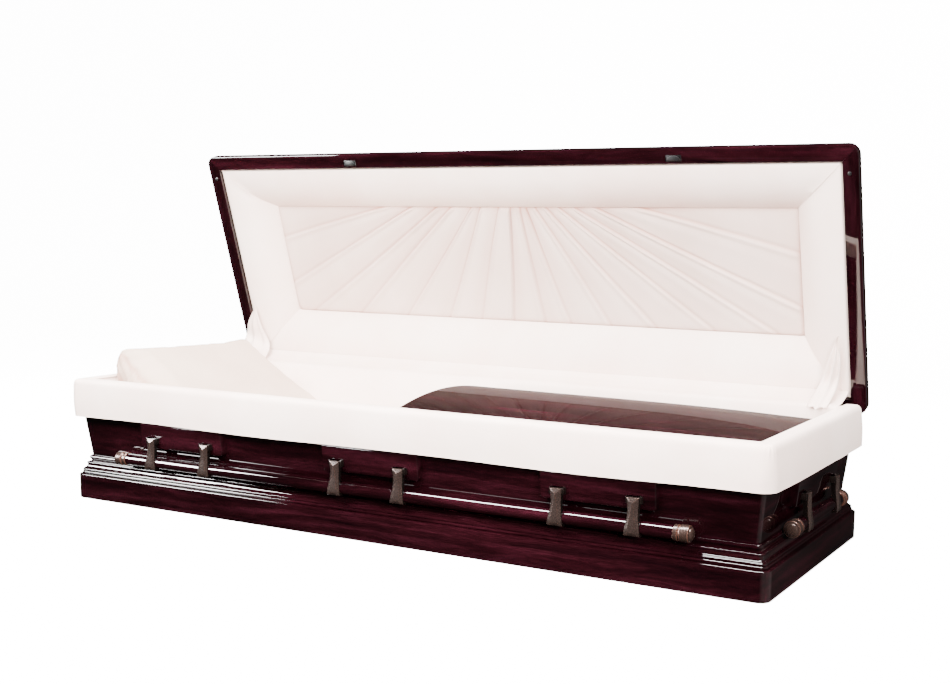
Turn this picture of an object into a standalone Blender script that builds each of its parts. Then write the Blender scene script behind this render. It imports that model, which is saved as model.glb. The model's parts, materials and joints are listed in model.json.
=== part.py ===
"""Full-couch funeral casket in moulded hardwood, with its lid standing open.

Metres, +Z up. The origin is the centre of the underside, +X points to the foot end, -Y to the
front, and the lid is hinged along the back. Lid pieces are modelled as they lie when the lid is
shut and hang from an empty on the hinge line that holds them open.
"""
import math

import bmesh
import bpy
from mathutils import Matrix, Vector

# Clearances
GAP = 0.0003                # air between two pieces that touch
EASE = 0.0002               # each side of a mitred frame stands out by this much, which opens its mitres

# Base moulding and bottom
BASE_HALF_LENGTH = 1.065
BASE_HALF_WIDTH = 0.370
BOARD_HEIGHT = 0.072        # plain board under the beads
BASE_CORNER = 0.028         # corner radius of the plain board
MOULDING_TOP = 0.126
MOULDING_FOOT = 0.025       # thickness of the plain board
SHELL_INSET = 0.0335        # from the board's face to the shell's foot
BOTTOM_THICK = 0.018

# Shell
SHELL_FOOT_Z = 0.121        # height at which SHELL_INSET is measured
SHELL_TOP_Z = 0.350
SHELL_FLARE = 0.0265        # how far each wall leans out between those two heights
WALL = 0.020
WALL_CORNER = 0.012

# Handles
PLAQUE_THICK = 0.020
PLAQUE_LOW_Z = 0.175
PLAQUE_TOP_Z = 0.243
PLAQUE_CORNER = 0.008
ARM_SPREAD = 0.099          # half the distance between the two arms of a pair
PAIR_TO_END = 0.418         # from the middle of an outer pair to the end of the base
END_ARM_SPREAD = 0.117
PLAQUE_PAST_ARM = 0.050     # from an arm's middle to the end of its plaque
END_PLAQUE_PAST_ARM = 0.043
PIVOT_OUT = 0.0090          # pivot's distance from the plaque's face
PIVOT_Z = 0.1995
KNUCKLE = 0.0065
KNUCKLE_HALF = 0.0145
ARM_FLARE = 0.0065          # how much wider each side of an arm is at the bar than at its knuckle
LUG_SIDE = 0.0034           # thickness of a lug's ear
LUG_CLEAR = 0.0012
BAR_OUT = -0.0055           # bar's centre outboard of the pivot
BAR_DROP = 0.064            # bar's centre below the pivot
BAR_RADIUS = 0.0165
BAR_PAST_ARM = 0.099        # from the last arm's middle to where a long bar enters its cap
END_BAR_PAST_ARM = 0.051
CAP_LENGTH = 0.046
CAP_RADIUS = 0.0205
CAP_SEGMENTS = 14

# Lid
LID_OVERHANG = 0.004
LID_LIFT = 0.006            # air between the shell's top and the lid's rim when shut
LID_OPEN = math.radians(73.25)
LID_SIDE = 0.026            # upright part of the lid's edge
LID_CORNER = 0.028
RIM_WIDTH = 0.042
LID_SHOULDER = 0.100        # inset where the crown starts
SHOULDER_HEIGHT = 0.130
LID_BOARD = 0.014
CROWN_LEDGE = 0.012
CROWN_RISE = 0.046

# Hinges
HINGE_TO_END = 0.445        # from a hinge's middle to the end of the base
PIN_OUT = 0.011             # hinge pin behind the shell's top edge
PIN_DOWN = 0.060            # hinge pin below the shell's top edge
HINGE_WIDTH = 0.060
HINGE_EYE = 0.0075
HINGE_PLATE = 0.003
STRAP_HALF = 0.0100

# Catch keepers
HEAD_CATCH_TO_END = 0.572   # from the first keeper's middle to the head end of the base
FOOT_CATCH_TO_END = 0.496   # from the second keeper's middle to the foot end of the base
CATCH_FROM_EDGE = 0.027     # from a keeper's middle to the lid's front edge
CATCH_LENGTH = 0.046
CATCH_WIDTH = 0.018
CATCH_THICK = 0.0025
CATCH_POCKET = 0.0045

# Lid lining
ROLL_PANEL_INSET = 0.186    # from the lid's edge to the sunburst panel
PANEL_DEPTH = 0.082         # panel's face behind the rim
PANEL_THICK = 0.008
PLEATS = 27
PLEAT_RISE = 0.0045

# Soft parts and foot panel
MATTRESS_TOP = 0.205
MATTRESS_CLEAR = 0.002
LINING = 0.0125             # thickness above the shelf
SHELF_Z = 0.300             # the lining is thicker below this height
SHELF_DEPTH = 0.018
LINING_SWELL = 0.008        # the lining is this much thicker at the mattress than at the shelf
CLOTH = 0.0035
HEM_Z = 0.2455
HEM_OUT = 0.0135
CLOTH_INSET = 0.0345        # inner edge of the cloth on the rim
CLOTH_BACK_ROOM = 0.011     # the cloth stops this far short of the shell's back
PANEL_SIDE_ROOM = 0.047     # from the shell's top edge to the foot panel's long edges
PANEL_FOOT_ROOM = 0.053     # from the shell's top edge to its foot edge
PANEL_HEAD_X = 0.0
FOOT_PANEL_THICK = 0.010
FOOT_PANEL_CREST = 0.364
FOOT_PANEL_EDGE = 0.312
PILLOW_FRONT_ROOM = 0.113   # from the shell's top edge to the pillow's front end
PILLOW_BACK_ROOM = 0.071
PILLOW_LENGTH = 0.398       # along X
PILLOW_CLEAR = 0.002
PILLOW_TOP_Z = 0.430

# Worked out from the sizes above
FLARE_RATE = SHELL_FLARE / (SHELL_TOP_Z - SHELL_FOOT_Z)
TOP_HALF_LENGTH = BASE_HALF_LENGTH - SHELL_INSET + SHELL_FLARE
TOP_HALF_WIDTH = BASE_HALF_WIDTH - SHELL_INSET + SHELL_FLARE
FLOOR_Z = BOTTOM_THICK + GAP
RIM_PLANE_Z = SHELL_TOP_Z + LID_LIFT
LID_HALF_LENGTH = TOP_HALF_LENGTH + LID_OVERHANG
LID_HALF_WIDTH = TOP_HALF_WIDTH + LID_OVERHANG
HINGE_PIN = Vector((0.0, TOP_HALF_WIDTH + PIN_OUT, SHELL_TOP_Z - PIN_DOWN))
BAR_Z = PIVOT_Z - BAR_DROP
OUTER_PAIR = BASE_HALF_LENGTH - PAIR_TO_END
ARM_PAIRS = tuple((middle - ARM_SPREAD, middle + ARM_SPREAD) for middle in (-OUTER_PAIR, 0.0, OUTER_PAIR))
END_ARM_PAIRS = ((-END_ARM_SPREAD, END_ARM_SPREAD),)
PLAQUE_HALF = ARM_SPREAD + PLAQUE_PAST_ARM
END_PLAQUE_HALF = END_ARM_SPREAD + END_PLAQUE_PAST_ARM
BAR_END = OUTER_PAIR + ARM_SPREAD + BAR_PAST_ARM    # where each long bar enters its caps
END_BAR_END = END_ARM_SPREAD + END_BAR_PAST_ARM
HINGE_PLACES = (HINGE_TO_END - BASE_HALF_LENGTH, BASE_HALF_LENGTH - HINGE_TO_END)
CATCH_PLACES = (HEAD_CATCH_TO_END - BASE_HALF_LENGTH, BASE_HALF_LENGTH - FOOT_CATCH_TO_END)
CLOTH_BACK_END = TOP_HALF_WIDTH - CLOTH_BACK_ROOM    # y at which the cloth stops on both ends
PANEL_HALF_WIDTH = TOP_HALF_WIDTH - PANEL_SIDE_ROOM
PANEL_FOOT_X = TOP_HALF_LENGTH - PANEL_FOOT_ROOM
PILLOW_FRONT = PILLOW_FRONT_ROOM - TOP_HALF_WIDTH
PILLOW_BACK = TOP_HALF_WIDTH - PILLOW_BACK_ROOM

SIDES = ("front", "back", "head", "foot")


def clear_scene():
    """Remove every object, so the script can run again in the same file."""
    for item in list(bpy.data.objects):
        bpy.data.objects.remove(item, do_unlink=True)


def make_collection(name):
    """Return a new collection linked to the scene."""
    group = bpy.data.collections.new(name)
    bpy.context.scene.collection.children.link(group)
    return group


def make_material(name, rgb, roughness, metallic=0.0):
    """Return a Principled material."""
    mat = bpy.data.materials.new(name)
    mat.use_nodes = True
    shader = mat.node_tree.nodes["Principled BSDF"]
    shader.inputs["Base Color"].default_value = (*rgb, 1.0)
    shader.inputs["Roughness"].default_value = roughness
    shader.inputs["Metallic"].default_value = metallic
    return mat


clear_scene()
PARTS = make_collection("funeral_casket")
CUTTERS = make_collection("cutters")
MAHOGANY = make_material("mahogany", (0.030, 0.004, 0.006), 0.08)
RAW_WOOD = make_material("bottom_wood", (0.20, 0.11, 0.06), 0.6)
BRONZE = make_material("bronze", (0.13, 0.085, 0.07), 0.35, 1.0)
STEEL = make_material("hinge_steel", (0.35, 0.33, 0.30), 0.35, 1.0)
BLACK = make_material("catch_black", (0.02, 0.02, 0.022), 0.4)
CREPE = make_material("crepe", (0.86, 0.82, 0.78), 0.8)
TICKING = make_material("ticking", (0.80, 0.78, 0.72), 0.9)


def add_object(name, mesh, material, parent=None, group=None):
    """Put a mesh in the scene under a name, with its material."""
    mesh.materials.clear()
    if material is not None:
        mesh.materials.append(material)
    item = bpy.data.objects.new(name, mesh)
    (group or PARTS).objects.link(item)
    item.parent = parent
    return item


def finish_mesh(name, work, smooth_angle=None):
    """Turn a bmesh into a mesh whose faces point outward, or upward on an open sheet."""
    bmesh.ops.remove_doubles(work, verts=work.verts, dist=0.00001)
    bmesh.ops.recalc_face_normals(work, faces=work.faces)
    work.faces.ensure_lookup_table()
    open_sheet = any(edge.is_boundary for edge in work.edges)
    facing = work.faces[0].normal.z if open_sheet else work.calc_volume(signed=True)
    if facing < 0:
        bmesh.ops.reverse_faces(work, faces=work.faces)
    mesh = bpy.data.meshes.new(name)
    work.to_mesh(mesh)
    work.free()
    if smooth_angle is not None:
        mesh.shade_smooth()
        mesh.set_sharp_from_angle(angle=math.radians(smooth_angle))
    return mesh


def make_cutter(item):
    """Hide a helper object that only cuts or joins."""
    PARTS.objects.unlink(item)
    CUTTERS.objects.link(item)
    item.hide_render = True
    item.display_type = "WIRE"


def boolean(item, helper, operation):
    """Cut or join item with helper."""
    make_cutter(helper)
    step = item.modifiers.new(operation.lower(), "BOOLEAN")
    step.operation = operation
    step.solver = "EXACT"
    step.object = helper


def box_mesh(name, low, high):
    """Return a box between two corners, made from a unit cube."""
    work = bmesh.new()
    bmesh.ops.create_cube(work, size=1.0)
    size = Vector(high) - Vector(low)
    middle = (Vector(high) + Vector(low)) / 2
    bmesh.ops.scale(work, vec=size, verts=work.verts)
    bmesh.ops.translate(work, vec=middle, verts=work.verts)
    return finish_mesh(name, work)


def loft(name, sections, closed=False, smooth_angle=None):
    """Skin equal-sized outlines into one solid; closed joins the last outline to the first."""
    work = bmesh.new()
    rings = [[work.verts.new(point) for point in section] for section in sections]
    pairs = list(zip(rings, rings[1:]))
    if closed:
        pairs.append((rings[-1], rings[0]))
    for first, second in pairs:
        for index in range(len(first)):
            after = (index + 1) % len(first)
            work.faces.new((first[index], first[after], second[after], second[index]))
    if not closed:
        work.faces.new(rings[0])
        work.faces.new(rings[-1])
    return finish_mesh(name, work, smooth_angle)


def side_point(side, along, out, height):
    """Map a place on one side (along it, out from the centre) into the casket's frame."""
    places = {
        "front": (along, -out),
        "back": (along, out),
        "head": (-out, along),
        "foot": (out, along),
    }
    return Vector((*places[side], height))


def side_extents(side, half_length, half_width):
    """Return a side's half run and its distance from the centre."""
    if side in ("front", "back"):
        return half_length, half_width
    return half_width, half_length


def mitred_side(name, side, half_length, half_width, section, steps=4, smooth_angle=None):
    """One length of a mitred frame. A section point is (inset, height, corner radius)."""
    run, distance = side_extents(side, half_length, half_width)
    sections = []
    for end in (-1, 1):
        angles = [math.pi / 4 * (1 - step / steps) for step in range(steps + 1)]
        if end > 0:
            angles.reverse()
        for angle in angles:
            ring = []
            for inset, height, radius in section:
                along = end * (run - inset - radius + radius * math.sin(angle))
                out = distance - inset - radius + radius * math.cos(angle) + EASE
                ring.append(side_point(side, along, out, height))
            sections.append(ring)
    return loft(name, sections, smooth_angle=smooth_angle)


def ring_frame(name, half_length, half_width, section, smooth_angle=None):
    """A closed frame with plain mitres in one piece. A section point is (inset, height)."""
    sections = []
    for x_sign, y_sign in ((-1, -1), (1, -1), (1, 1), (-1, 1)):
        sections.append([
            Vector((x_sign * (half_length - inset), y_sign * (half_width - inset), height))
            for inset, height in section
        ])
    return loft(name, sections, closed=True, smooth_angle=smooth_angle)


def arc(centre, radius, start, end, steps):
    """Points of an arc in a plane, angles in degrees."""
    points = []
    for step in range(steps + 1):
        angle = math.radians(start + (end - start) * step / steps)
        points.append((centre[0] + radius * math.cos(angle), centre[1] + radius * math.sin(angle)))
    return points


def shell_inset(height):
    """Inset of the shell's outer face from its top edge at a height."""
    return FLARE_RATE * (SHELL_TOP_Z - height)


def board_inset(height):
    """Inset of the shell's outer face from the base board's face at a height."""
    return SHELL_INSET + FLARE_RATE * (SHELL_FOOT_Z - height)


def make_bottom():
    """Bottom board inside the base moulding."""
    reach = MOULDING_FOOT + GAP
    low = (-BASE_HALF_LENGTH + reach, -BASE_HALF_WIDTH + reach, 0.0)
    high = (BASE_HALF_LENGTH - reach, BASE_HALF_WIDTH - reach, BOTTOM_THICK)
    add_object("bottom_board", box_mesh("bottom_board", low, high), RAW_WOOD)


def base_section():
    """Outline of the base moulding: board, double bead, cove, small bead and foot torus."""
    face = [(0.0015, 0.0), (0.0, 0.0015), (0.0, BOARD_HEIGHT - 0.003), (0.001, BOARD_HEIGHT - 0.0008),
            (0.003, BOARD_HEIGHT)]
    beads = [(0.0100, BOARD_HEIGHT + 0.0035), (0.0085, BOARD_HEIGHT + 0.0065),
             (0.0100, BOARD_HEIGHT + 0.0095), (0.0120, BOARD_HEIGHT + 0.0100),
             (0.0110, BOARD_HEIGHT + 0.0130), (0.0125, BOARD_HEIGHT + 0.0165)]
    cove = [(0.0165, BOARD_HEIGHT + 0.0190), (0.0195, BOARD_HEIGHT + 0.0250),
            (0.0200, BOARD_HEIGHT + 0.0290)]
    small_bead = [(0.0190, BOARD_HEIGHT + 0.0320), (0.0205, BOARD_HEIGHT + 0.0350)]
    torus = [(0.0275, BOARD_HEIGHT + 0.0385), (0.0265, BOARD_HEIGHT + 0.0455),
             (0.0285, MOULDING_TOP - 0.002), (0.0310, MOULDING_TOP)]
    outer = [(inset, height, max(WALL_CORNER, BASE_CORNER - inset))
             for inset, height in face + beads + cove + small_bead + torus]
    inner = [(board_inset(MOULDING_TOP) - GAP, MOULDING_TOP, WALL_CORNER),
             (board_inset(FLOOR_Z) - GAP, FLOOR_Z, WALL_CORNER),
             (MOULDING_FOOT, FLOOR_Z, 0.0),
             (MOULDING_FOOT, 0.0, 0.0)]
    return outer + inner


def make_base_moulding():
    """Four mitred lengths of base moulding."""
    section = base_section()
    for side in SIDES:
        name = "base_" + side
        mesh = mitred_side(name, side, BASE_HALF_LENGTH, BASE_HALF_WIDTH, section, steps=3, smooth_angle=40)
        add_object(name, mesh, MAHOGANY)


def make_wall(side):
    """One flared wall of the shell."""
    section = [
        (0.002, SHELL_TOP_Z, WALL_CORNER),
        (shell_inset(SHELL_TOP_Z - 0.002), SHELL_TOP_Z - 0.002, WALL_CORNER),
        (shell_inset(FLOOR_Z), FLOOR_Z, WALL_CORNER),
        (shell_inset(FLOOR_Z) + WALL, FLOOR_Z, 0.0),
        (WALL, SHELL_TOP_Z, 0.0),
    ]
    name = "wall_" + side
    mesh = mitred_side(name, side, TOP_HALF_LENGTH, TOP_HALF_WIDTH, section, steps=3, smooth_angle=40)
    return add_object(name, mesh, MAHOGANY)


def wall_face(side, height):
    """Distance of a wall's outer face from the centre at a height."""
    distance = side_extents(side, TOP_HALF_LENGTH, TOP_HALF_WIDTH)[1]
    return distance - shell_inset(height) + EASE


def plaque_mesh(name, side, middle, half, sink):
    """A raised plaque with rounded lower corners, lying on the flared wall."""
    outline = [(half, PLAQUE_TOP_Z), (-half, PLAQUE_TOP_Z)]
    low_left = (-half + PLAQUE_CORNER, PLAQUE_LOW_Z + PLAQUE_CORNER)
    low_right = (half - PLAQUE_CORNER, PLAQUE_LOW_Z + PLAQUE_CORNER)
    outline += arc(low_left, PLAQUE_CORNER, 180, 270, 3)
    outline += arc(low_right, PLAQUE_CORNER, 270, 360, 3)
    edge = 0.002
    layers = ((-sink, 0.0), (PLAQUE_THICK - edge, 0.0), (PLAQUE_THICK, edge))
    centre_z = (PLAQUE_TOP_Z + PLAQUE_LOW_Z) / 2
    sections = []
    for lift, shrink in layers:
        ring = []
        for along, height in outline:
            along -= math.copysign(shrink, along)
            height -= math.copysign(shrink, height - centre_z)
            ring.append(side_point(side, middle + along, wall_face(side, height) + lift, height))
        sections.append(ring)
    return loft(name, sections)


def pivot_out(side):
    """Distance of a side's handle pivots from the centre."""
    return wall_face(side, PIVOT_Z) + PLAQUE_THICK + PIVOT_OUT


def lug_mesh(name, side, along):
    """A pivot lug: a back plate let into the plaque and an ear on each side of the knuckle."""
    face = pivot_out(side) - PIVOT_OUT
    ear_low = KNUCKLE_HALF + LUG_CLEAR
    ear_high = ear_low + LUG_SIDE
    plate_out = face + PIVOT_OUT - KNUCKLE - 0.0012
    tip = pivot_out(side) + 0.0050
    top = PIVOT_Z + 0.0085
    low = PIVOT_Z - 0.0085
    back = face - 0.004
    plan = [(-ear_high, back), (ear_high, back), (ear_high, tip), (ear_low, tip),
            (ear_low, plate_out), (-ear_low, plate_out), (-ear_low, tip), (-ear_high, tip)]
    sections = [[side_point(side, along + s, out, z) for s, out in plan] for z in (low, top)]
    return loft(name, sections)


def make_plaques(walls):
    """Plaques with their lugs. Those of the plain back and head are glued into their walls."""
    middles = [(first + second) / 2 for first, second in ARM_PAIRS]
    for side in SIDES:
        long_side = side in ("front", "back")
        places = middles if long_side else [0.0]
        pairs = ARM_PAIRS if long_side else END_ARM_PAIRS
        half = PLAQUE_HALF if long_side else END_PLAQUE_HALF
        joined = side in ("back", "head")
        for number, (middle, pair) in enumerate(zip(places, pairs), start=1):
            name = "plaque_{}_{}".format(side, number)
            sink = 0.004 if joined else -GAP
            mesh = plaque_mesh(name, side, middle, half, sink)
            plaque = add_object(name, mesh, MAHOGANY)
            target = walls[side] if joined else plaque
            if joined:
                boolean(target, plaque, "UNION")
            for arm_number, along in enumerate(pair, start=1):
                lug_name = "{}_lug_{}".format(name, arm_number)
                lug = add_object(lug_name, lug_mesh(lug_name, side, along), BRONZE)
                boolean(target, lug, "UNION")


def arm_outline():
    """Side view of a cast arm as (out, height) from the pivot, with half width, ridge and setback."""
    bar_face = BAR_OUT + BAR_RADIUS
    outer = [
        ((0.0020, KNUCKLE), 0.0145, 0.0),
        ((0.0072, 0.0060), 0.0140, 0.0),
        ((0.0108, -0.0060), 0.0006, 0.0034),
        ((0.0112, -0.0240), 0.0040, 0.0040),
        ((0.0132, -0.0440), 0.0080, 0.0032),
        ((bar_face + 0.0050, -BAR_DROP), 0.0100, 0.0024),
        ((bar_face + 0.0044, -BAR_DROP - 0.0140), 0.0106, 0.0016),
        ((bar_face + 0.0006, -BAR_DROP - BAR_RADIUS - 0.0020), 0.0110, 0.0),
    ]
    seat_steps = 5
    seat = (BAR_RADIUS + GAP) / math.cos(math.radians(75 / seat_steps))
    inner = [(BAR_OUT + 0.0060, -BAR_DROP - seat - 0.0030)]
    inner += arc((BAR_OUT, -BAR_DROP), seat, -75, 75, seat_steps)
    inner += [(BAR_OUT + 0.0020, -0.0400), (-0.0040, -0.0300), (-0.0058, -0.0140)]
    inner += arc((0.0, 0.0), KNUCKLE, -180, -270, 3)
    places = [place for place, _, _ in outer] + inner
    points = []
    for index, place in enumerate(places):
        drop = min(1.0, max(0.0, (-place[1] - 0.0200) / BAR_DROP))
        half = KNUCKLE_HALF + ARM_FLARE * drop
        ridge, setback = outer[index][1:] if index < len(outer) else (half * 0.6, 0.0)
        points.append((place, half, ridge, setback))
    return points


def arm_mesh(name, side, along):
    """A faceted cast arm, from its knuckle down to the seat that holds the bar."""
    points = arm_outline()
    pivot = pivot_out(side)
    work = bmesh.new()
    layers = []
    for sign, edge_layer in ((-1, True), (-1, False), (1, False), (1, True)):
        layer = []
        for (out, height), half, ridge, setback in points:
            across = half if edge_layer else ridge
            reach = out - setback if edge_layer else out
            place = side_point(side, along + sign * across, pivot + reach, PIVOT_Z + height)
            layer.append(work.verts.new(place))
        layers.append(layer)
    count = len(points)
    for first, second in zip(layers, layers[1:]):
        for index in range(count):
            after = (index + 1) % count
            work.faces.new((first[index], first[after], second[after], second[index]))
    caps = [work.faces.new(layers[0]), work.faces.new(layers[-1])]
    for face in caps:
        face.normal_update()
    bmesh.ops.triangulate(work, faces=caps, ngon_method="BEAUTY")
    return finish_mesh(name, work, smooth_angle=24)


def turn_to_side(item, side, along, out, height, toward):
    """Lay a turned piece's own +Z along a side, pointing toward +1 or -1."""
    item.location = side_point(side, along, out, height)
    direction = side_point(side, toward, 0.0, 0.0)
    item.rotation_mode = "QUATERNION"
    item.rotation_quaternion = direction.to_track_quat("Z", "Y")


def cap_profile():
    """Outline of an end cap, from its domed tip down to its open collar, as (radius, height)."""
    dome = [(0.0, CAP_LENGTH), (0.0095, CAP_LENGTH - 0.0010), (0.0150, CAP_LENGTH - 0.0055)]
    barrel = [(CAP_RADIUS - 0.0010, CAP_LENGTH - 0.0080), (CAP_RADIUS, CAP_LENGTH - 0.0110),
              (CAP_RADIUS, 0.0150), (CAP_RADIUS - 0.0015, 0.0130)]
    collar = [(CAP_RADIUS - 0.0030, 0.0115), (CAP_RADIUS - 0.0012, 0.0095),
              (CAP_RADIUS - 0.0012, 0.0), (0.0, 0.0)]
    return dome + barrel + collar


def turned_piece(name, profile, material):
    """A turned solid: a half outline at +X with a Screw modifier about Z."""
    work = bmesh.new()
    verts = [work.verts.new((radius, 0.0, height)) for radius, height in profile]
    for first, second in zip(verts, verts[1:]):
        work.edges.new((first, second))
    mesh = bpy.data.meshes.new(name)
    work.to_mesh(mesh)
    work.free()
    item = add_object(name, mesh, material)
    screw = item.modifiers.new("turn", "SCREW")
    screw.steps = CAP_SEGMENTS
    screw.render_steps = CAP_SEGMENTS
    screw.use_merge_vertices = True
    screw.merge_threshold = 0.00001
    screw.use_smooth_shade = True
    return item


def make_handle(side):
    """A swing handle: bar, arms and end caps."""
    long_side = side in ("front", "back")
    pairs = ARM_PAIRS if long_side else END_ARM_PAIRS
    bar_end = BAR_END if long_side else END_BAR_END
    out = pivot_out(side) + BAR_OUT
    work = bmesh.new()
    bmesh.ops.create_cone(work, cap_ends=True, segments=20, radius1=BAR_RADIUS, radius2=BAR_RADIUS,
                          depth=2 * bar_end)
    name = "bar_" + side
    bar = add_object(name, finish_mesh(name, work, smooth_angle=40), MAHOGANY)
    turn_to_side(bar, side, 0.0, out, BAR_Z, 1)
    for number, along in enumerate([place for pair in pairs for place in pair], start=1):
        name = "arm_{}_{}".format(side, number)
        add_object(name, arm_mesh(name, side, along), BRONZE)
    for number, toward in enumerate((-1, 1), start=1):
        cap = turned_piece("cap_{}_{}".format(side, number), cap_profile(), BRONZE)
        turn_to_side(cap, side, toward * (bar_end + GAP), out, BAR_Z, toward)


def make_lid_pivot():
    """Empty on the hinge line that holds the lid's pieces open."""
    pivot = bpy.data.objects.new("lid_pivot", None)
    PARTS.objects.link(pivot)
    pivot.matrix_world = Matrix.Translation(HINGE_PIN) @ Matrix.Rotation(-LID_OPEN, 4, "X")
    return pivot


def hang_on_lid(name, mesh, material, pivot):
    """Add a piece whose mesh is drawn in the shut lid's place."""
    mesh.transform(Matrix.Translation(-HINGE_PIN))
    return add_object(name, mesh, material, parent=pivot)


def ogee(rate):
    """Share of the height gained across the lid's sloping moulding."""
    return rate - 0.10 * math.sin(2 * math.pi * rate)


def lid_section():
    """Outline of a lid rail above the rim's plane, as (inset, height, corner radius)."""
    start = (0.013, LID_SIDE + 0.012)
    end = (LID_SHOULDER - 0.004, SHOULDER_HEIGHT - 0.002)
    slope = []
    for step in range(8):
        rate = step / 7
        slope.append((start[0] + (end[0] - start[0]) * rate, start[1] + (end[1] - start[1]) * ogee(rate)))
    outer = [(0.002, 0.0), (0.0, 0.002), (0.0, LID_SIDE - 0.003), (0.0015, LID_SIDE), (0.006, LID_SIDE + 0.001),
             (0.0085, LID_SIDE + 0.004), (0.008, LID_SIDE + 0.008), (0.0105, LID_SIDE + 0.0115)]
    outer += slope
    outer.append((LID_SHOULDER, SHOULDER_HEIGHT))
    ledge_z = SHOULDER_HEIGHT - LID_BOARD - GAP
    inner = [(LID_SHOULDER, ledge_z), (LID_SHOULDER + CROWN_LEDGE, ledge_z),
             (LID_SHOULDER + CROWN_LEDGE, ledge_z - 0.008), (RIM_WIDTH, 0.036), (RIM_WIDTH, 0.0)]
    section = [(inset, RIM_PLANE_Z + height, max(0.0, LID_CORNER - inset)) for inset, height in outer]
    return section + [(inset, RIM_PLANE_Z + height, 0.0) for inset, height in inner]


def make_lid_rails(pivot):
    """Four mitred lid rails; the front one has pockets for the catch keepers."""
    for side in SIDES:
        name = "lid_rail_" + side
        mesh = mitred_side(name, side, LID_HALF_LENGTH, LID_HALF_WIDTH, lid_section(), steps=3,
                           smooth_angle=40)
        rail = hang_on_lid(name, mesh, MAHOGANY, pivot)
        if side == "front":
            for number, place in enumerate(CATCH_PLACES, start=1):
                make_catch(number, place, rail, pivot)


def make_catch(number, place, rail, pivot):
    """A catch keeper let into a pocket of the front rail."""
    middle = -LID_HALF_WIDTH + CATCH_FROM_EDGE
    name = "catch_{}".format(number)
    pocket_low = (place - CATCH_LENGTH / 2 - GAP, middle - CATCH_WIDTH / 2 - GAP, RIM_PLANE_Z - 0.002)
    pocket_high = (place + CATCH_LENGTH / 2 + GAP, middle + CATCH_WIDTH / 2 + GAP,
                   RIM_PLANE_Z + CATCH_POCKET)
    pocket = hang_on_lid(name + "_pocket", box_mesh(name + "_pocket", pocket_low, pocket_high), None, pivot)
    boolean(rail, pocket, "DIFFERENCE")
    top = RIM_PLANE_Z + CATCH_POCKET - GAP
    low = (place - CATCH_LENGTH / 2, middle - CATCH_WIDTH / 2, top - CATCH_THICK)
    high = (place + CATCH_LENGTH / 2, middle + CATCH_WIDTH / 2, top)
    hang_on_lid(name, box_mesh(name, low, high), BLACK, pivot)


def make_lid_crown(pivot):
    """Crowned top board of the lid, an arched sheet with its real thickness."""
    half_length = LID_HALF_LENGTH - LID_SHOULDER - GAP
    half_width = LID_HALF_WIDTH - LID_SHOULDER - GAP
    work = bmesh.new()
    bmesh.ops.create_grid(work, x_segments=14, y_segments=8, size=1.0)
    for vert in work.verts:
        across, along = vert.co.y, vert.co.x
        rise = CROWN_RISE * (1 - across * across) * (1 - abs(along) ** 3)
        vert.co = Vector((along * half_length, across * half_width, RIM_PLANE_Z + SHOULDER_HEIGHT + rise))
    mesh = finish_mesh("lid_crown", work, smooth_angle=30)
    crown = hang_on_lid("lid_crown", mesh, MAHOGANY, pivot)
    shell = crown.modifiers.new("board", "SOLIDIFY")
    shell.thickness = LID_BOARD
    shell.offset = -1.0


def extruded(name, profile, low, high):
    """A (y, z) outline given width along X."""
    sections = [[Vector((x, y, z)) for y, z in profile] for x in (low, high)]
    return loft(name, sections)


def make_hinges(pivot):
    """Two hinges: a leaf on the back wall with a slotted eye, and a strap up to the lid's back rail."""
    pin_y, pin_z = HINGE_PIN.y, HINGE_PIN.z
    rail_y = LID_HALF_WIDTH + EASE + GAP
    top_z = pin_z + 0.030
    low_z = pin_z - 0.036
    for number, place in enumerate(HINGE_PLACES, start=1):
        name = "hinge_leaf_{}".format(number)
        face_top = wall_face("back", top_z) + GAP
        face_low = wall_face("back", low_z) + GAP
        eye = arc((pin_y, pin_z), HINGE_EYE, -110, 110, 8)
        leaf_profile = [(face_low, low_z), (face_low + HINGE_PLATE, low_z)]
        leaf_profile += [(face_low + HINGE_PLATE + 0.0012, pin_z - HINGE_EYE - 0.006)]
        leaf_profile += eye
        leaf_profile += [(face_top + HINGE_PLATE - 0.0015, pin_z + HINGE_EYE + 0.006),
                         (face_top + HINGE_PLATE, top_z), (face_top, top_z)]
        mesh = extruded(name, leaf_profile, place - HINGE_WIDTH / 2, place + HINGE_WIDTH / 2)
        leaf = add_object(name, mesh, STEEL)
        slot_half = STRAP_HALF + 0.0006
        slot_low = (place - slot_half, pin_y - HINGE_EYE - 0.0015, pin_z - 0.020)
        slot_high = (place + slot_half, pin_y + 0.030, pin_z + 0.034)
        slot = add_object(name + "_slot", box_mesh(name + "_slot", slot_low, slot_high), None)
        boolean(leaf, slot, "DIFFERENCE")
        strap_name = "hinge_strap_{}".format(number)
        strap_top = RIM_PLANE_Z + LID_SIDE - 0.004
        strap_profile = arc((pin_y, pin_z), HINGE_EYE - 0.0005, -180, 0, 8)
        strap_profile += [(pin_y + HINGE_EYE - 0.0005, RIM_PLANE_Z - 0.012), (rail_y + HINGE_PLATE, RIM_PLANE_Z),
                          (rail_y + HINGE_PLATE, strap_top), (rail_y, strap_top), (rail_y, RIM_PLANE_Z - 0.014),
                          (pin_y - HINGE_EYE + 0.0005, RIM_PLANE_Z - 0.026)]
        strap_mesh = extruded(strap_name, strap_profile, place - STRAP_HALF, place + STRAP_HALF)
        hang_on_lid(strap_name, strap_mesh, STEEL, pivot)


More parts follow.
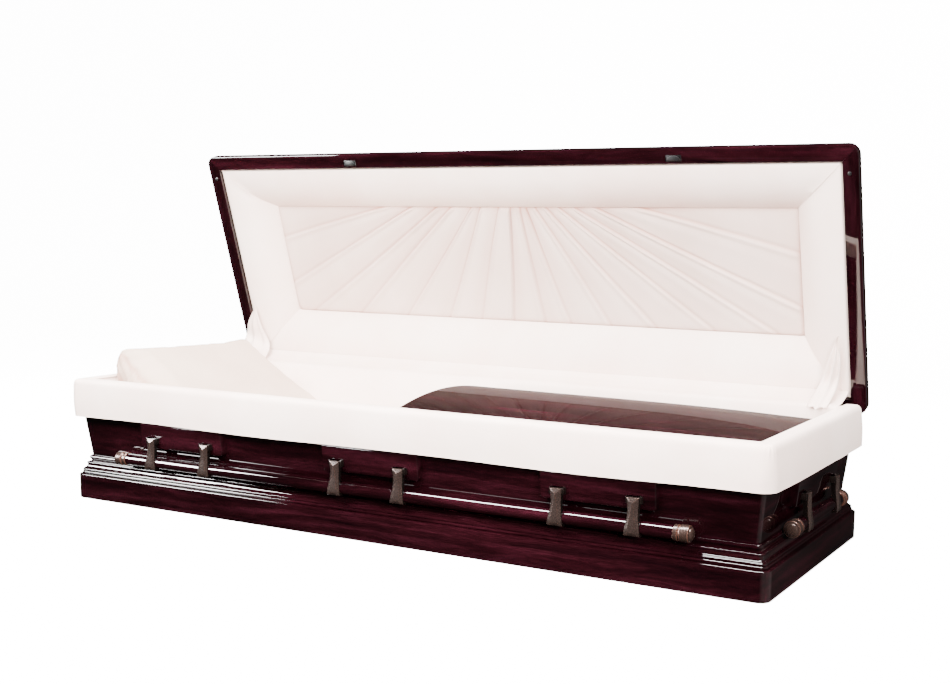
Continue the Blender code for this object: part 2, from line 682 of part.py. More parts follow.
def make_lid_lining(pivot):
    """Puffed lining roll round the lid, mitred at its corners, and the pleated sunburst panel."""
    panel_inset = ROLL_PANEL_INSET
    edge = RIM_WIDTH + EASE + GAP
    puff = [(edge, 0.012), (0.055, 0.0075), (0.078, 0.0068), (0.105, 0.0120), (0.135, 0.0240),
            (0.160, 0.0420), (0.178, 0.0640), (panel_inset, PANEL_DEPTH)]
    back = [(panel_inset, PANEL_DEPTH + PANEL_THICK), (0.110, PANEL_DEPTH + PANEL_THICK), (edge, 0.034)]
    section = [(inset, RIM_PLANE_Z + height) for inset, height in puff + back]
    mesh = ring_frame("lid_roll", LID_HALF_LENGTH, LID_HALF_WIDTH, section, smooth_angle=30)
    hang_on_lid("lid_roll", mesh, CREPE, pivot)

    half_length = LID_HALF_LENGTH - panel_inset - GAP
    half_width = LID_HALF_WIDTH - panel_inset - GAP
    points = pleat_points(half_length, half_width)
    work = bmesh.new()
    face_z = RIM_PLANE_Z + PANEL_DEPTH
    heart = work.verts.new((0.0, -half_width, face_z))
    front = []
    for index, (x, y) in enumerate(points):
        flat = index in (0, len(points) - 1)
        rise = 0.0 if flat else PLEAT_RISE * (-0.6 if index % 2 else 0.4)
        front.append(work.verts.new((x, y, face_z + rise)))
    rear_z = face_z + PANEL_THICK
    rear = [work.verts.new((x, y, rear_z)) for x, y in [(0.0, -half_width)] + points]
    front_ring = [heart] + front
    for first, second in zip(front, front[1:]):
        work.faces.new((heart, first, second))
    for index in range(len(front_ring)):
        after = (index + 1) % len(front_ring)
        work.faces.new((front_ring[index], front_ring[after], rear[after], rear[index]))
    work.faces.new(rear)
    mesh = finish_mesh("sunburst_panel", work)
    hang_on_lid("sunburst_panel", mesh, CREPE, pivot)


def pleat_points(half_length, half_width):
    """Ends of the pleats round three sides of the panel, spread evenly as seen from its heart."""
    points = [(-half_length, -half_width)]
    total = 2 * PLEATS
    corner = math.atan2(2 * half_width, half_length)
    for step in range(1, total):
        angle = math.pi * (1 - step / total)
        reach_x = half_length / max(1e-6, abs(math.cos(angle)))
        reach_y = 2 * half_width / max(1e-6, math.sin(angle))
        reach = min(reach_x, reach_y)
        points.append((reach * math.cos(angle), -half_width + reach * math.sin(angle)))
        following = math.pi * (1 - (step + 1) / total)
        for turn, sign in ((math.pi - corner, -1), (corner, 1)):
            if following < turn < angle:
                points.append((sign * half_length, half_width))
    points.append((half_length, -half_width))
    return points


def make_mattress():
    """Bed of the casket: one rounded block."""
    reach = shell_inset(FLOOR_Z) + WALL + MATTRESS_CLEAR
    low = (-TOP_HALF_LENGTH + reach, -TOP_HALF_WIDTH + reach, FLOOR_Z + GAP)
    high = (TOP_HALF_LENGTH - reach, TOP_HALF_WIDTH - reach, MATTRESS_TOP)
    mattress = add_object("mattress", box_mesh("mattress", low, high), TICKING)
    mattress.data.shade_smooth()
    soften = mattress.modifiers.new("soften", "BEVEL")
    soften.width = 0.020
    soften.segments = 3


def make_lining():
    """Padded lining of the shell, thicker under the shelf that carries the foot panel."""
    low_z = MATTRESS_TOP + GAP
    outer_low = shell_inset(low_z) + WALL + EASE + GAP
    outer_top = WALL + EASE + GAP
    shelf_inset = shell_inset(SHELF_Z) + WALL + LINING + SHELF_DEPTH
    top_z = SHELL_TOP_Z - GAP
    section = [
        (outer_low, low_z), (outer_top, top_z), (WALL + LINING, top_z),
        (shell_inset(SHELF_Z) + WALL + LINING, SHELF_Z), (shelf_inset, SHELF_Z),
        (shelf_inset + 0.003, SHELF_Z - 0.006), (shelf_inset + LINING_SWELL, low_z),
    ]
    mesh = ring_frame("shell_lining", TOP_HALF_LENGTH, TOP_HALF_WIDTH, section, smooth_angle=30)
    add_object("shell_lining", mesh, CREPE)


def cloth_section():
    """Outline of the overlay cloth folded over the rim, as (inset, height, corner radius)."""
    low = SHELL_TOP_Z + EASE + GAP
    top = low + CLOTH
    outer = [(CLOTH_INSET, low), (CLOTH_INSET, top - 0.001), (CLOTH_INSET - 0.004, top), (0.0, top),
             (-0.0045, top - 0.003), (-0.0090, SHELL_TOP_Z - 0.012),
             (-HEM_OUT - 0.001, (SHELL_TOP_Z + HEM_Z) / 2), (-HEM_OUT, HEM_Z)]
    inner = [(-HEM_OUT + CLOTH, HEM_Z), (-HEM_OUT + CLOTH - 0.001, (SHELL_TOP_Z + HEM_Z) / 2),
             (-0.0055, SHELL_TOP_Z - 0.012), (-0.0015, low)]
    return [(inset, height, max(0.004, WALL_CORNER + shell_inset(height) - inset))
            for inset, height in outer + inner]


def make_overlay():
    """Overlay cloth over the front and both ends of the rim, open at the back."""
    section = cloth_section()
    sections = [[Vector((-TOP_HALF_LENGTH + inset, CLOTH_BACK_END, height)) for inset, height, _ in section]]
    steps = 5
    for x_sign, start in ((-1, 180), (1, 270)):
        for step in range(steps + 1):
            angle = math.radians(start + 90 * step / steps)
            ring = []
            for inset, height, radius in section:
                x = x_sign * (TOP_HALF_LENGTH - inset - radius) + radius * math.cos(angle)
                y = -(TOP_HALF_WIDTH - inset - radius) + radius * math.sin(angle)
                ring.append(Vector((x, y, height)))
            sections.append(ring)
    sections.append([Vector((TOP_HALF_LENGTH - inset, CLOTH_BACK_END, height)) for inset, height, _ in section])
    add_object("overlay_cloth", loft("overlay_cloth", sections, smooth_angle=30), CREPE)


def make_foot_panel():
    """Domed, glossy panel over the foot half, standing on the lining's shelf."""
    length = PANEL_FOOT_X - PANEL_HEAD_X
    work = bmesh.new()
    bmesh.ops.create_grid(work, x_segments=12, y_segments=10, size=1.0)
    rise = FOOT_PANEL_CREST - FOOT_PANEL_EDGE
    for vert in work.verts:
        share = (vert.co.x + 1) / 2
        across = vert.co.y
        fall = 1 - 0.12 * share - 0.40 * share ** 6
        height = FOOT_PANEL_EDGE + rise * fall * (1 - across * across)
        vert.co = Vector((PANEL_HEAD_X + share * length, across * PANEL_HALF_WIDTH, height))
    rim = [edge for edge in work.edges if edge.is_boundary]
    grown = bmesh.ops.extrude_edge_only(work, edges=rim)["geom"]
    for vert in grown:
        if isinstance(vert, bmesh.types.BMVert):
            vert.co.z = SHELF_Z + GAP
    mesh = finish_mesh("foot_panel", work, smooth_angle=40)
    panel = add_object("foot_panel", mesh, MAHOGANY)
    board = panel.modifiers.new("board", "SOLIDIFY")
    board.thickness = FOOT_PANEL_THICK
    board.offset = -1.0
    board.use_even_offset = True


def make_pillow():
    """Wedge pillow propped against the head end."""
    above_x = -TOP_HALF_LENGTH + shell_inset(SHELF_Z) + WALL + LINING + PILLOW_CLEAR
    head_x = above_x + SHELF_DEPTH + LINING_SWELL
    low_z = MATTRESS_TOP + GAP
    rise = PILLOW_TOP_Z - low_z
    rest_z = SHELF_Z + 0.13 * rise
    profile = [(head_x, low_z), (head_x, SHELF_Z - 0.04 * rise), (head_x + 0.5 * PILLOW_CLEAR, SHELF_Z + 0.03 * rise),
               (above_x, rest_z)]
    # Share of the pillow's length and of its height at each point of its slope.
    slope = [(0.0, 0.78), (0.03, 0.947), (0.10, 1.0), (0.22, 0.92), (0.42, 0.725), (0.648, 0.484), (0.85, 0.253),
             (0.962, 0.093), (1.0, 0.0)]
    profile += [(above_x + along * PILLOW_LENGTH, low_z + up * rise) for along, up in slope]
    stations = 9
    middle_x = sum(x for x, _ in profile) / len(profile)
    sections = []
    for step in range(stations):
        rate = 2 * step / (stations - 1) - 1
        y = (PILLOW_FRONT + PILLOW_BACK) / 2 + rate * (PILLOW_BACK - PILLOW_FRONT) / 2
        fill = (1 - abs(rate) ** 6 * 0.22)
        ring = []
        for x, z in profile:
            lift = max(0.0, z - rest_z)
            ring.append(Vector((middle_x + (x - middle_x) * (0.97 + 0.03 * fill), y,
                                z - lift + lift * fill)))
        sections.append(ring)
    add_object("pillow", loft("pillow", sections, smooth_angle=50), CREPE)


def build():
    """Build every piece of the casket."""
    make_bottom()
    make_base_moulding()
    walls = {side: make_wall(side) for side in SIDES}
    make_plaques(walls)
    for side in SIDES:
        make_handle(side)
    pivot = make_lid_pivot()
    make_lid_rails(pivot)
    make_lid_crown(pivot)
    make_hinges(pivot)
    make_lid_lining(pivot)
    make_mattress()
    make_lining()
    make_overlay()
    make_foot_panel()
    make_pillow()


build()
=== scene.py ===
"""Looks of a full-couch mahogany funeral casket that stands with its lid open.

Metres, +Z up, +X to the foot end, -Y to the front. Pieces of the lid are drawn where they lie when
the lid is shut, and are then turned open about the hinge line, as the CAD model has them.
"""
import json
import logging
import math
import random
from dataclasses import dataclass
from enum import Enum
from typing import Iterable, Optional, Sequence

import bmesh
import bpy
from mathutils import Euler, Matrix, Vector, noise

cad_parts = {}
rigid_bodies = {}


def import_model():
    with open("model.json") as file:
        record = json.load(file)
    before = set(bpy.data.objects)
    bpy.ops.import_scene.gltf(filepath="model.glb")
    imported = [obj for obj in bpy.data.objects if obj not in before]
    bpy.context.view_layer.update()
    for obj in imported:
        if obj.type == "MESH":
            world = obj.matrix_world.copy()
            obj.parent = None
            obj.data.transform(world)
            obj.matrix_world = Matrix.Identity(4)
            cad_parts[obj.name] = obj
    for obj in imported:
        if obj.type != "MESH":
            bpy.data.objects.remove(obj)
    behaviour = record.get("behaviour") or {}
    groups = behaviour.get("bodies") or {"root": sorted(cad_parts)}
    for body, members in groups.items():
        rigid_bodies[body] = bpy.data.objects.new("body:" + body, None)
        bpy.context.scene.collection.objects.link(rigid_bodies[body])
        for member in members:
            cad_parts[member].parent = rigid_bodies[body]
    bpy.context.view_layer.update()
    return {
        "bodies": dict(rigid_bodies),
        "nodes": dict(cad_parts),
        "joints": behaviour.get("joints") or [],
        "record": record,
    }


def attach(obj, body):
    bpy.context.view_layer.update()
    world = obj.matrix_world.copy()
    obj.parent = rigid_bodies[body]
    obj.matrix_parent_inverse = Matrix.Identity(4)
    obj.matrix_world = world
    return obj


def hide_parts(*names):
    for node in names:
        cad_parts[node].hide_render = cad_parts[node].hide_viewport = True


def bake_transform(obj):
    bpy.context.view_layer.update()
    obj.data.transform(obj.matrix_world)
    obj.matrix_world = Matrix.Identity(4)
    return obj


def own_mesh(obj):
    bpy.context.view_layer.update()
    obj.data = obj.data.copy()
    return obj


LOG = logging.getLogger("casket")
PHOTO_SIZE = (950, 684)
Section = list[tuple[float, float, float]]


class GrainWay(Enum):
    """Which way the grain of a wooden piece runs."""

    ALONG_X = 0.0
    ALONG_Y = 90.0


class Side(Enum):
    """The four sides of the casket."""

    FRONT = "front"
    BACK = "back"
    HEAD = "head"
    FOOT = "foot"

    @property
    def is_long(self) -> bool:
        """Whether this side runs along X."""
        return self in (Side.FRONT, Side.BACK)

    @property
    def grain(self) -> GrainWay:
        """Which way the grain runs in this side's lengths."""
        return GrainWay.ALONG_X if self.is_long else GrainWay.ALONG_Y

    def place(self, along: float, out: float, height: float) -> Vector:
        """Map a place on this side into the casket's frame.

        Args:
            along: distance along the side from its middle.
            out: distance out from the casket's centre.
            height: height above the floor.

        Returns:
            The point in metres.
        """
        places = {
            Side.FRONT: (along, -out),
            Side.BACK: (along, out),
            Side.HEAD: (-out, along),
            Side.FOOT: (out, along),
        }
        return Vector((*places[self], height))


@dataclass(frozen=True)
class Sizes:
    """Driving sizes of the casket, the same as the CAD model's."""

    base_half_length: float = 1.065
    base_half_width: float = 0.370
    board_height: float = 0.072
    base_corner: float = 0.028
    moulding_top: float = 0.126
    moulding_foot: float = 0.025
    shell_inset: float = 0.0335
    floor_z: float = 0.0183
    shell_foot_z: float = 0.121
    shell_top_z: float = 0.350
    shell_flare: float = 0.0265
    wall: float = 0.020
    wall_corner: float = 0.012
    plaque_thick: float = 0.020
    plaque_low_z: float = 0.175
    plaque_top_z: float = 0.243
    pivot_out: float = 0.0090
    pivot_z: float = 0.1995
    bar_out: float = -0.0055
    bar_drop: float = 0.064
    bar_radius: float = 0.0165
    lid_overhang: float = 0.004
    lid_lift: float = 0.006
    lid_open: float = math.radians(73.25)
    lid_side: float = 0.026
    lid_corner: float = 0.028
    rim_width: float = 0.042
    shoulder: float = 0.100
    shoulder_height: float = 0.130
    lid_board: float = 0.014
    crown_ledge: float = 0.012
    crown_rise: float = 0.046
    pin_out: float = 0.011
    pin_down: float = 0.060
    panel_inset: float = 0.186
    panel_depth: float = 0.082

    @property
    def flare_rate(self) -> float:
        """How far the shell leans out for each metre of height."""
        return self.shell_flare / (self.shell_top_z - self.shell_foot_z)

    @property
    def top_half_length(self) -> float:
        """Half the shell's length at its top."""
        return self.base_half_length - self.shell_inset + self.shell_flare

    @property
    def top_half_width(self) -> float:
        """Half the shell's width at its top."""
        return self.base_half_width - self.shell_inset + self.shell_flare

    @property
    def rim_z(self) -> float:
        """Height of the lid's rim when the lid is shut."""
        return self.shell_top_z + self.lid_lift

    @property
    def lid_half_length(self) -> float:
        """Half the lid's length."""
        return self.top_half_length + self.lid_overhang

    @property
    def lid_half_width(self) -> float:
        """Half the lid's width."""
        return self.top_half_width + self.lid_overhang

    @property
    def pin(self) -> Vector:
        """A point on the hinge line."""
        return Vector((0.0, self.top_half_width + self.pin_out, self.shell_top_z - self.pin_down))

    @property
    def lid_turn(self) -> Matrix:
        """The matrix that takes a piece of the shut lid to the open lid."""
        turn = Matrix.Rotation(-self.lid_open, 4, "X")
        return Matrix.Translation(self.pin) @ turn @ Matrix.Translation(-self.pin)

    def shell_inset_at(self, height: float) -> float:
        """Inset of the shell's outer face from its top edge at a height."""
        return self.flare_rate * (self.shell_top_z - height)

    def extents(self, side: Side, half_length: float, half_width: float) -> tuple[float, float]:
        """Half run of a side, and its distance from the centre."""
        if side.is_long:
            return half_length, half_width
        return half_width, half_length

    def wall_face(self, side: Side, height: float) -> float:
        """Distance of a wall's outer face from the centre at a height."""
        distance = self.extents(side, self.top_half_length, self.top_half_width)[1]
        return distance - self.shell_inset_at(height) + EASE

    def pivot_distance(self, side: Side) -> float:
        """Distance of a side's handle pivots from the centre."""
        return self.wall_face(side, self.pivot_z) + self.plaque_thick + self.pivot_out


EASE = 0.0002
# Pieces that touch in the real casket are this far apart.
GAP = 0.0003
SIZES = Sizes()
# Middles of the arms along a handle, and the end of its bar, from the middle of the side.
LONG_ARMS = (-0.746, -0.548, -0.099, 0.099, 0.548, 0.746)
LONG_BAR_END = 0.845
END_ARMS = (-0.117, 0.117)
END_BAR_END = 0.168


# Colours and nodes.


def linear(code: str) -> tuple[float, float, float, float]:
    """Turn an sRGB hex code into a linear colour.

    Args:
        code: six hex digits, with or without a leading #.

    Returns:
        Red, green, blue and alpha.
    """
    channels = []
    digits = code.lstrip("#")
    for start in (0, 2, 4):
        value = int(digits[start:start + 2], 16) / 255
        channels.append(value / 12.92 if value <= 0.04045 else ((value + 0.055) / 1.055) ** 2.4)
    return (channels[0], channels[1], channels[2], 1.0)


def add_node(tree: bpy.types.NodeTree, kind: str, settings: Optional[dict] = None,
             inputs: Optional[dict] = None) -> bpy.types.Node:
    """Add a node with its settings, values and links.

    Args:
        tree: the node tree.
        kind: the node's type without the ShaderNode prefix.
        settings: attributes to set on the node.
        inputs: socket name or number to a value, or to an output socket to link from.

    Returns:
        The new node.
    """
    node = tree.nodes.new("ShaderNode" + kind)
    for name, value in (settings or {}).items():
        setattr(node, name, value)
    wire(tree, node, inputs or {})
    return node


def wire(tree: bpy.types.NodeTree, node: bpy.types.Node, inputs: dict) -> None:
    """Set or link a node's inputs.

    Args:
        tree: the material's node tree.
        node: the node.
        inputs: a value or an output socket for each input's name or number.
    """
    for name, value in inputs.items():
        if isinstance(value, bpy.types.NodeSocket):
            tree.links.new(value, node.inputs[name])
        else:
            node.inputs[name].default_value = value


def ramp(tree: bpy.types.NodeTree, source: bpy.types.NodeSocket,
         stops: Sequence[tuple[float, str]]) -> bpy.types.NodeSocket:
    """Colour a value through a colour ramp.

    Args:
        tree: the node tree.
        source: the value's socket.
        stops: place and hex colour of each stop.

    Returns:
        The colour's socket.
    """
    node = add_node(tree, "ValToRGB", inputs={"Fac": source})
    band = node.color_ramp
    while len(band.elements) < len(stops):
        band.elements.new(0.5)
    for element, (place, code) in zip(band.elements, stops):
        element.position = place
        element.color = linear(code)
    return node.outputs["Color"]


def start_material(name: str) -> tuple[bpy.types.Material, bpy.types.NodeTree, bpy.types.Node]:
    """Start a material with its Principled shader.

    Args:
        name: the material's name.

    Returns:
        The material, its tree and its shader node.
    """
    material = bpy.data.materials.new(name)
    material.use_nodes = True
    tree = material.node_tree
    return material, tree, tree.nodes["Principled BSDF"]


# Finishes.


@dataclass(frozen=True)
class Mahogany:
    """Red-brown mahogany, stained dark and rubbed out under a thick polyester lacquer.

    The lacquer gives hard mirror lines on every bead, and the ribbon figure glows red beneath it.
    """

    way: GrainWay = GrainWay.ALONG_X
    on_lid: bool = False
    slot: str = "mahogany"
    dark: str = "090204"
    body: str = "1B060B"
    red: str = "30101A"
    ribbon_mm: float = 26.0
    pore_mm: float = 1.6
    lacquer: float = 1.0

    @property
    def name(self) -> str:
        """Name of the material for this grain."""
        kind = "_lid" if self.on_lid else "" if self.lacquer == 1.0 else "_rubbed"
        return "lacquered_mahogany_{}{}".format(self.way.name[-1].lower(), kind)

    def rotation(self) -> Euler:
        """Turn that lays the pattern's X along the grain."""
        turn = Matrix.Rotation(math.radians(self.way.value), 4, "Z")
        if self.on_lid:
            turn = Matrix.Rotation(-SIZES.lid_open, 4, "X") @ turn
        return turn.to_euler("XYZ")

    def make(self) -> bpy.types.Material:
        """Build the material.

        Returns:
            The material.
        """
        material, tree, shader = start_material(self.name)
        place = add_node(tree, "TexCoord").outputs["Object"]
        turn = tuple(self.rotation())
        ribbon = self.ribbon_mm / 1000
        pore = self.pore_mm / 1000
        drift = add_node(tree, "TexNoise", inputs={"Vector": place, "Scale": 2.2, "Detail": 2.0})
        wander = add_node(tree, "VectorMath", {"operation": "SCALE"},
                          {0: drift.outputs["Color"], "Scale": 0.05}).outputs["Vector"]
        bent = add_node(tree, "VectorMath", {"operation": "ADD"}, {0: place, 1: wander}).outputs["Vector"]
        wide = add_node(tree, "Mapping", {"vector_type": "TEXTURE"},
                        {"Vector": bent, "Rotation": turn, "Scale": (0.42, ribbon, ribbon)})
        figure = add_node(tree, "TexNoise", inputs={"Vector": wide.outputs["Vector"], "Scale": 1.0,
                                                    "Detail": 6.0, "Roughness": 0.62, "Distortion": 0.4})
        fine = add_node(tree, "Mapping", {"vector_type": "TEXTURE"},
                        {"Vector": bent, "Rotation": turn, "Scale": (0.035, pore, pore)})
        pores = add_node(tree, "TexNoise", inputs={"Vector": fine.outputs["Vector"], "Scale": 1.0,
                                                   "Detail": 3.0, "Roughness": 0.7})
        patches = add_node(tree, "Mapping", {"vector_type": "TEXTURE"},
                           {"Vector": place, "Rotation": turn, "Scale": (0.60, 0.13, 0.13)})
        glow = add_node(tree, "TexNoise", inputs={"Vector": patches.outputs["Vector"], "Scale": 1.0,
                                                  "Detail": 1.5})
        colour = ramp(tree, figure.outputs["Fac"],
                      [(0.30, self.dark), (0.50, self.body), (0.72, self.red)])
        shade = ramp(tree, pores.outputs["Fac"], [(0.34, "6A6A6A"), (0.60, "FFFFFF")])
        streaked = add_node(tree, "Mix", {"data_type": "RGBA", "blend_type": "MULTIPLY"},
                            {"Factor": 0.75, 6: colour, 7: shade}).outputs[2]
        cast = ramp(tree, glow.outputs["Fac"], [(0.35, "8A8A8A"), (0.65, "FFFFFF")])
        deep = add_node(tree, "Mix", {"data_type": "RGBA", "blend_type": "MULTIPLY"},
                        {"Factor": 0.8, 6: streaked, 7: cast}).outputs[2]
        # The lacquer has a faint orange peel.
        peel = add_node(tree, "TexNoise", inputs={"Vector": place, "Scale": 28.0, "Detail": 1.0})
        bump = add_node(tree, "Bump", inputs={"Height": peel.outputs["Fac"], "Strength": 0.05,
                                              "Distance": 0.0006})
        wire(tree, shader, {"Base Color": deep, "Roughness": 0.42, "IOR": 1.5, "Specular IOR Level": 0.0,
                            "Coat Weight": self.lacquer, "Coat Roughness": 0.025, "Coat IOR": 1.5,
                            "Coat Normal": bump.outputs["Normal"]})
        return material


@dataclass(frozen=True)
class Crepe:
    """Warm white crepe, woven from twisted yarn, so it is matt with a faint soft sheen at the edges."""

    name: str = "white_crepe"
    slot: str = "crepe"
    cloth: str = "F7E8E1"
    shade: str = "F1DDD5"
    # Colour of the painted shade in tucks, seams and gathers.
    crease: str = "A97C6C"
    yarn_mm: float = 1.3
    rumple_mm: float = 70.0
    rumple: float = 0.25

    def make(self) -> bpy.types.Material:
        """Build the material.

        Returns:
            The material.
        """
        material, tree, shader = start_material(self.name)
        place = add_node(tree, "TexCoord").outputs["Object"]
        soft = add_node(tree, "TexNoise", inputs={"Vector": place, "Scale": 5.0, "Detail": 3.0})
        plain = ramp(tree, soft.outputs["Fac"], [(0.35, self.shade), (0.65, self.cloth)])
        # Painted shade: the attribute read here darkens the cloth toward the crease colour in tucks, seams
        # and gathers, and under the roll's edge; pieces without it stay plain.
        fold = add_node(tree, "Attribute", {"attribute_name": "fold"}).outputs["Fac"]
        colour = add_node(tree, "Mix", {"data_type": "RGBA"},
                          {"Factor": fold, 6: plain, 7: linear(self.crease)}).outputs[2]
        # The real yarn is about 0.3 mm: it is drawn four times as coarse, so that it shows at all.
        weave = add_node(tree, "TexNoise", inputs={"Vector": place, "Scale": 1000.0 / self.yarn_mm,
                                                   "Detail": 2.0, "Roughness": 0.7})
        first = add_node(tree, "Bump", inputs={"Height": weave.outputs["Fac"], "Strength": 0.22,
                                               "Distance": 0.0005})
        folds = add_node(tree, "TexNoise", inputs={"Vector": place, "Scale": 1000.0 / self.rumple_mm,
                                                   "Detail": 3.0, "Roughness": 0.5, "Distortion": 0.6})
        second = add_node(tree, "Bump", inputs={"Height": folds.outputs["Fac"], "Strength": self.rumple,
                                                "Distance": 0.006, "Normal": first.outputs["Normal"]})
        wire(tree, shader, {"Base Color": colour, "Normal": second.outputs["Normal"], "Roughness": 0.85,
                            "Specular IOR Level": 0.2, "Sheen Weight": 0.25, "Sheen Roughness": 0.45,
                            "Sheen Tint": linear("FFF4EE")})
        return material


@dataclass(frozen=True)
class AntiqueBronze:
    """Zinc castings plated in antique bronze: brown-black, rubbed back to copper on their edges."""

    name: str = "antique_bronze"
    slot: str = "bronze"
    brown: str = "362C29"
    dark: str = "2B2321"
    copper: str = "6E4A3E"
    # Near black painted onto the arms' side faces and the clevises as painted shade.
    painted_shade: str = "070505"

    def make(self) -> bpy.types.Material:
        """Build the material.

        Returns:
            The material.
        """
        material, tree, shader = start_material(self.name)
        place = add_node(tree, "TexCoord").outputs["Object"]
        patina = add_node(tree, "TexNoise", inputs={"Vector": place, "Scale": 240.0, "Detail": 4.0,
                                                    "Roughness": 0.65})
        ground = ramp(tree, patina.outputs["Fac"], [(0.30, self.dark), (0.70, self.brown)])
        worn = add_node(tree, "Attribute", {"attribute_name": "worn"}).outputs["Fac"]
        patchy = add_node(tree, "Math", {"operation": "MULTIPLY", "use_clamp": True},
                          {0: worn, 1: patina.outputs["Fac"]}).outputs[0]
        bright = add_node(tree, "Math", {"operation": "MULTIPLY", "use_clamp": True},
                          {0: patchy, 1: 1.35}).outputs[0]
        rubbed = add_node(tree, "Mix", {"data_type": "RGBA"},
                          {"Factor": bright, 6: ground, 7: linear(self.copper)}).outputs[2]
        # Painted shade: faces marked by the attribute read here are darkened toward near black.
        deep = add_node(tree, "Attribute", {"attribute_name": "deep"}).outputs["Fac"]
        colour = add_node(tree, "Mix", {"data_type": "RGBA"},
                          {"Factor": deep, 6: rubbed, 7: linear(self.painted_shade)}).outputs[2]
        rough = add_node(tree, "MapRange", inputs={"Value": patina.outputs["Fac"], "To Min": 0.22,
                                                   "To Max": 0.34})
        grit = add_node(tree, "TexNoise", inputs={"Vector": place, "Scale": 900.0, "Detail": 2.0})
        bump = add_node(tree, "Bump", inputs={"Height": grit.outputs["Fac"], "Strength": 0.12,
                                              "Distance": 0.0003})
        # The brown patina over the bronze is part oxide, so that it is part matt.
        wire(tree, shader, {"Base Color": colour, "Roughness": rough.outputs[0], "Metallic": 0.60,
                            "Normal": bump.outputs["Normal"]})
        return material


@dataclass(frozen=True)
class PlainFinish:
    """A plain stock finish whose tone and roughness drift a little across the surface."""

    name: str
    slot: str
    light: str
    dark: str
    roughness: float
    metallic: float = 0.0
    grain_mm: float = 20.0
    stretch: tuple[float, float, float] = (1.0, 1.0, 1.0)
    bump: float = 0.1

    def make(self) -> bpy.types.Material:
        """Build the material.

        Returns:
            The material.
        """
        material, tree, shader = start_material(self.name)
        place = add_node(tree, "TexCoord").outputs["Object"]
        size = tuple(self.grain_mm / 1000 * share for share in self.stretch)
        laid = add_node(tree, "Mapping", {"vector_type": "TEXTURE"}, {"Vector": place, "Scale": size})
        drift = add_node(tree, "TexNoise", inputs={"Vector": laid.outputs["Vector"], "Scale": 1.0,
                                                   "Detail": 5.0, "Roughness": 0.6})
        colour = ramp(tree, drift.outputs["Fac"], [(0.32, self.dark), (0.68, self.light)])
        rough = add_node(tree, "MapRange", inputs={"Value": drift.outputs["Fac"],
                                                   "To Min": self.roughness * 0.85,
                                                   "To Max": min(1.0, self.roughness * 1.15)})
        bump = add_node(tree, "Bump", inputs={"Height": drift.outputs["Fac"], "Strength": self.bump,
                                              "Distance": 0.0008})
        wire(tree, shader, {"Base Color": colour, "Roughness": rough.outputs[0], "Metallic": self.metallic,
                            "Normal": bump.outputs["Normal"]})
        return material


CREPE = Crepe()
# A darker copy of the crepe: painted shade on the lid's sunburst panel.
SHADED_PANEL_CREPE = Crepe(name="panel_crepe", cloth="DAC8C1", shade="D2BEB6", rumple=0.08)
# A darker copy of the crepe: painted shade on the pillow.
SHADED_PILLOW_CREPE = Crepe(name="pillow_crepe", cloth="C9B6A8", shade="BFAB9D", rumple=0.20)
BRONZE = AntiqueBronze()
# Unlacquered poplar: pale, straight grained, sawn and left plain where nobody looks.
RAW_BOARD = PlainFinish("raw_poplar", "bottom_wood", "6E5236", "4E3622", 0.75, grain_mm=14.0,
                        stretch=(28.0, 1.0, 1.0), bump=0.3)
# Rolled steel strip with a satin zinc finish.
SATIN_STEEL = PlainFinish("satin_steel", "hinge_steel", "6C6A66", "4E4C49", 0.34, metallic=1.0,
                          grain_mm=1.5, stretch=(12.0, 1.0, 1.0))
# Glass-filled nylon, moulded matt black.
BLACK_NYLON = PlainFinish("black_nylon", "catch_black", "0B0B0C", "050506", 0.38, grain_mm=3.0)
# Unbleached cotton ticking over wadding.
TICKING = PlainFinish("cotton_ticking", "ticking", "E6E0D6", "D8D1C6", 0.9, grain_mm=2.0, bump=0.35)


class Wardrobe:
    """Makes each finish once and hands it out again."""

    def __init__(self) -> None:
        """Start with no finishes made."""
        self._made: dict[str, bpy.types.Material] = {}

    def material(self, finish: object) -> bpy.types.Material:
        """Return the finish's material, made on first use."""
        if finish.name not in self._made:
            self._made[finish.name] = finish.make()
        return self._made[finish.name]


WARDROBE = Wardrobe()


# Mesh helpers.


def bulge(centre: tuple[float, float], radius: float, start: float, end: float,
          steps: int = 8) -> list[tuple[float, float]]:
    """Points of a bead on a moulding's face.

    Args:
        centre: inset and height of the bead's centre.
        radius: the bead's radius.
        start: first angle in degrees, 0 straight out and 90 up.
        end: last angle in degrees.
        steps: number of chords.

    Returns:
        Inset and height of each point.
    """
    points = []
    for step in range(steps + 1):
        angle = math.radians(start + (end - start) * step / steps)
        points.append((centre[0] - radius * math.cos(angle), centre[1] + radius * math.sin(angle)))
    return points


def sweep(stations: Sequence[Sequence[Vector]], ring: bool = True, closed: bool = False) -> bmesh.types.BMesh:
    """Extrude an outline through a row of stations.

    Args:
        stations: the outline's points at each station, the same number at each.
        ring: whether the outline itself is closed.
        closed: whether the last station lies on the first.

    Returns:
        The new bmesh, with its ends filled where the outline is closed and the row is open.
    """
    work = bmesh.new()
    verts = [work.verts.new(point) for point in stations[0]]
    pairs = list(zip(verts, verts[1:]))
    if ring:
        pairs.append((verts[-1], verts[0]))
    edges = [work.edges.new(pair) for pair in pairs]
    if ring and not closed:
        work.faces.new(verts)
    for station in stations[1:]:
        grown = bmesh.ops.extrude_edge_only(work, edges=edges)["geom"]
        fresh = {item for item in grown if isinstance(item, bmesh.types.BMVert)}
        ahead = []
        for vert, point in zip(verts, station):
            follower = next(edge.other_vert(vert) for edge in vert.link_edges
                            if edge.other_vert(vert) in fresh)
            follower.co = point
            ahead.append(follower)
        edges = [item for item in grown if isinstance(item, bmesh.types.BMEdge)
                 and item.verts[0] in fresh and item.verts[1] in fresh]
        verts = ahead
    if ring and not closed:
        work.faces.new(verts)
    return work


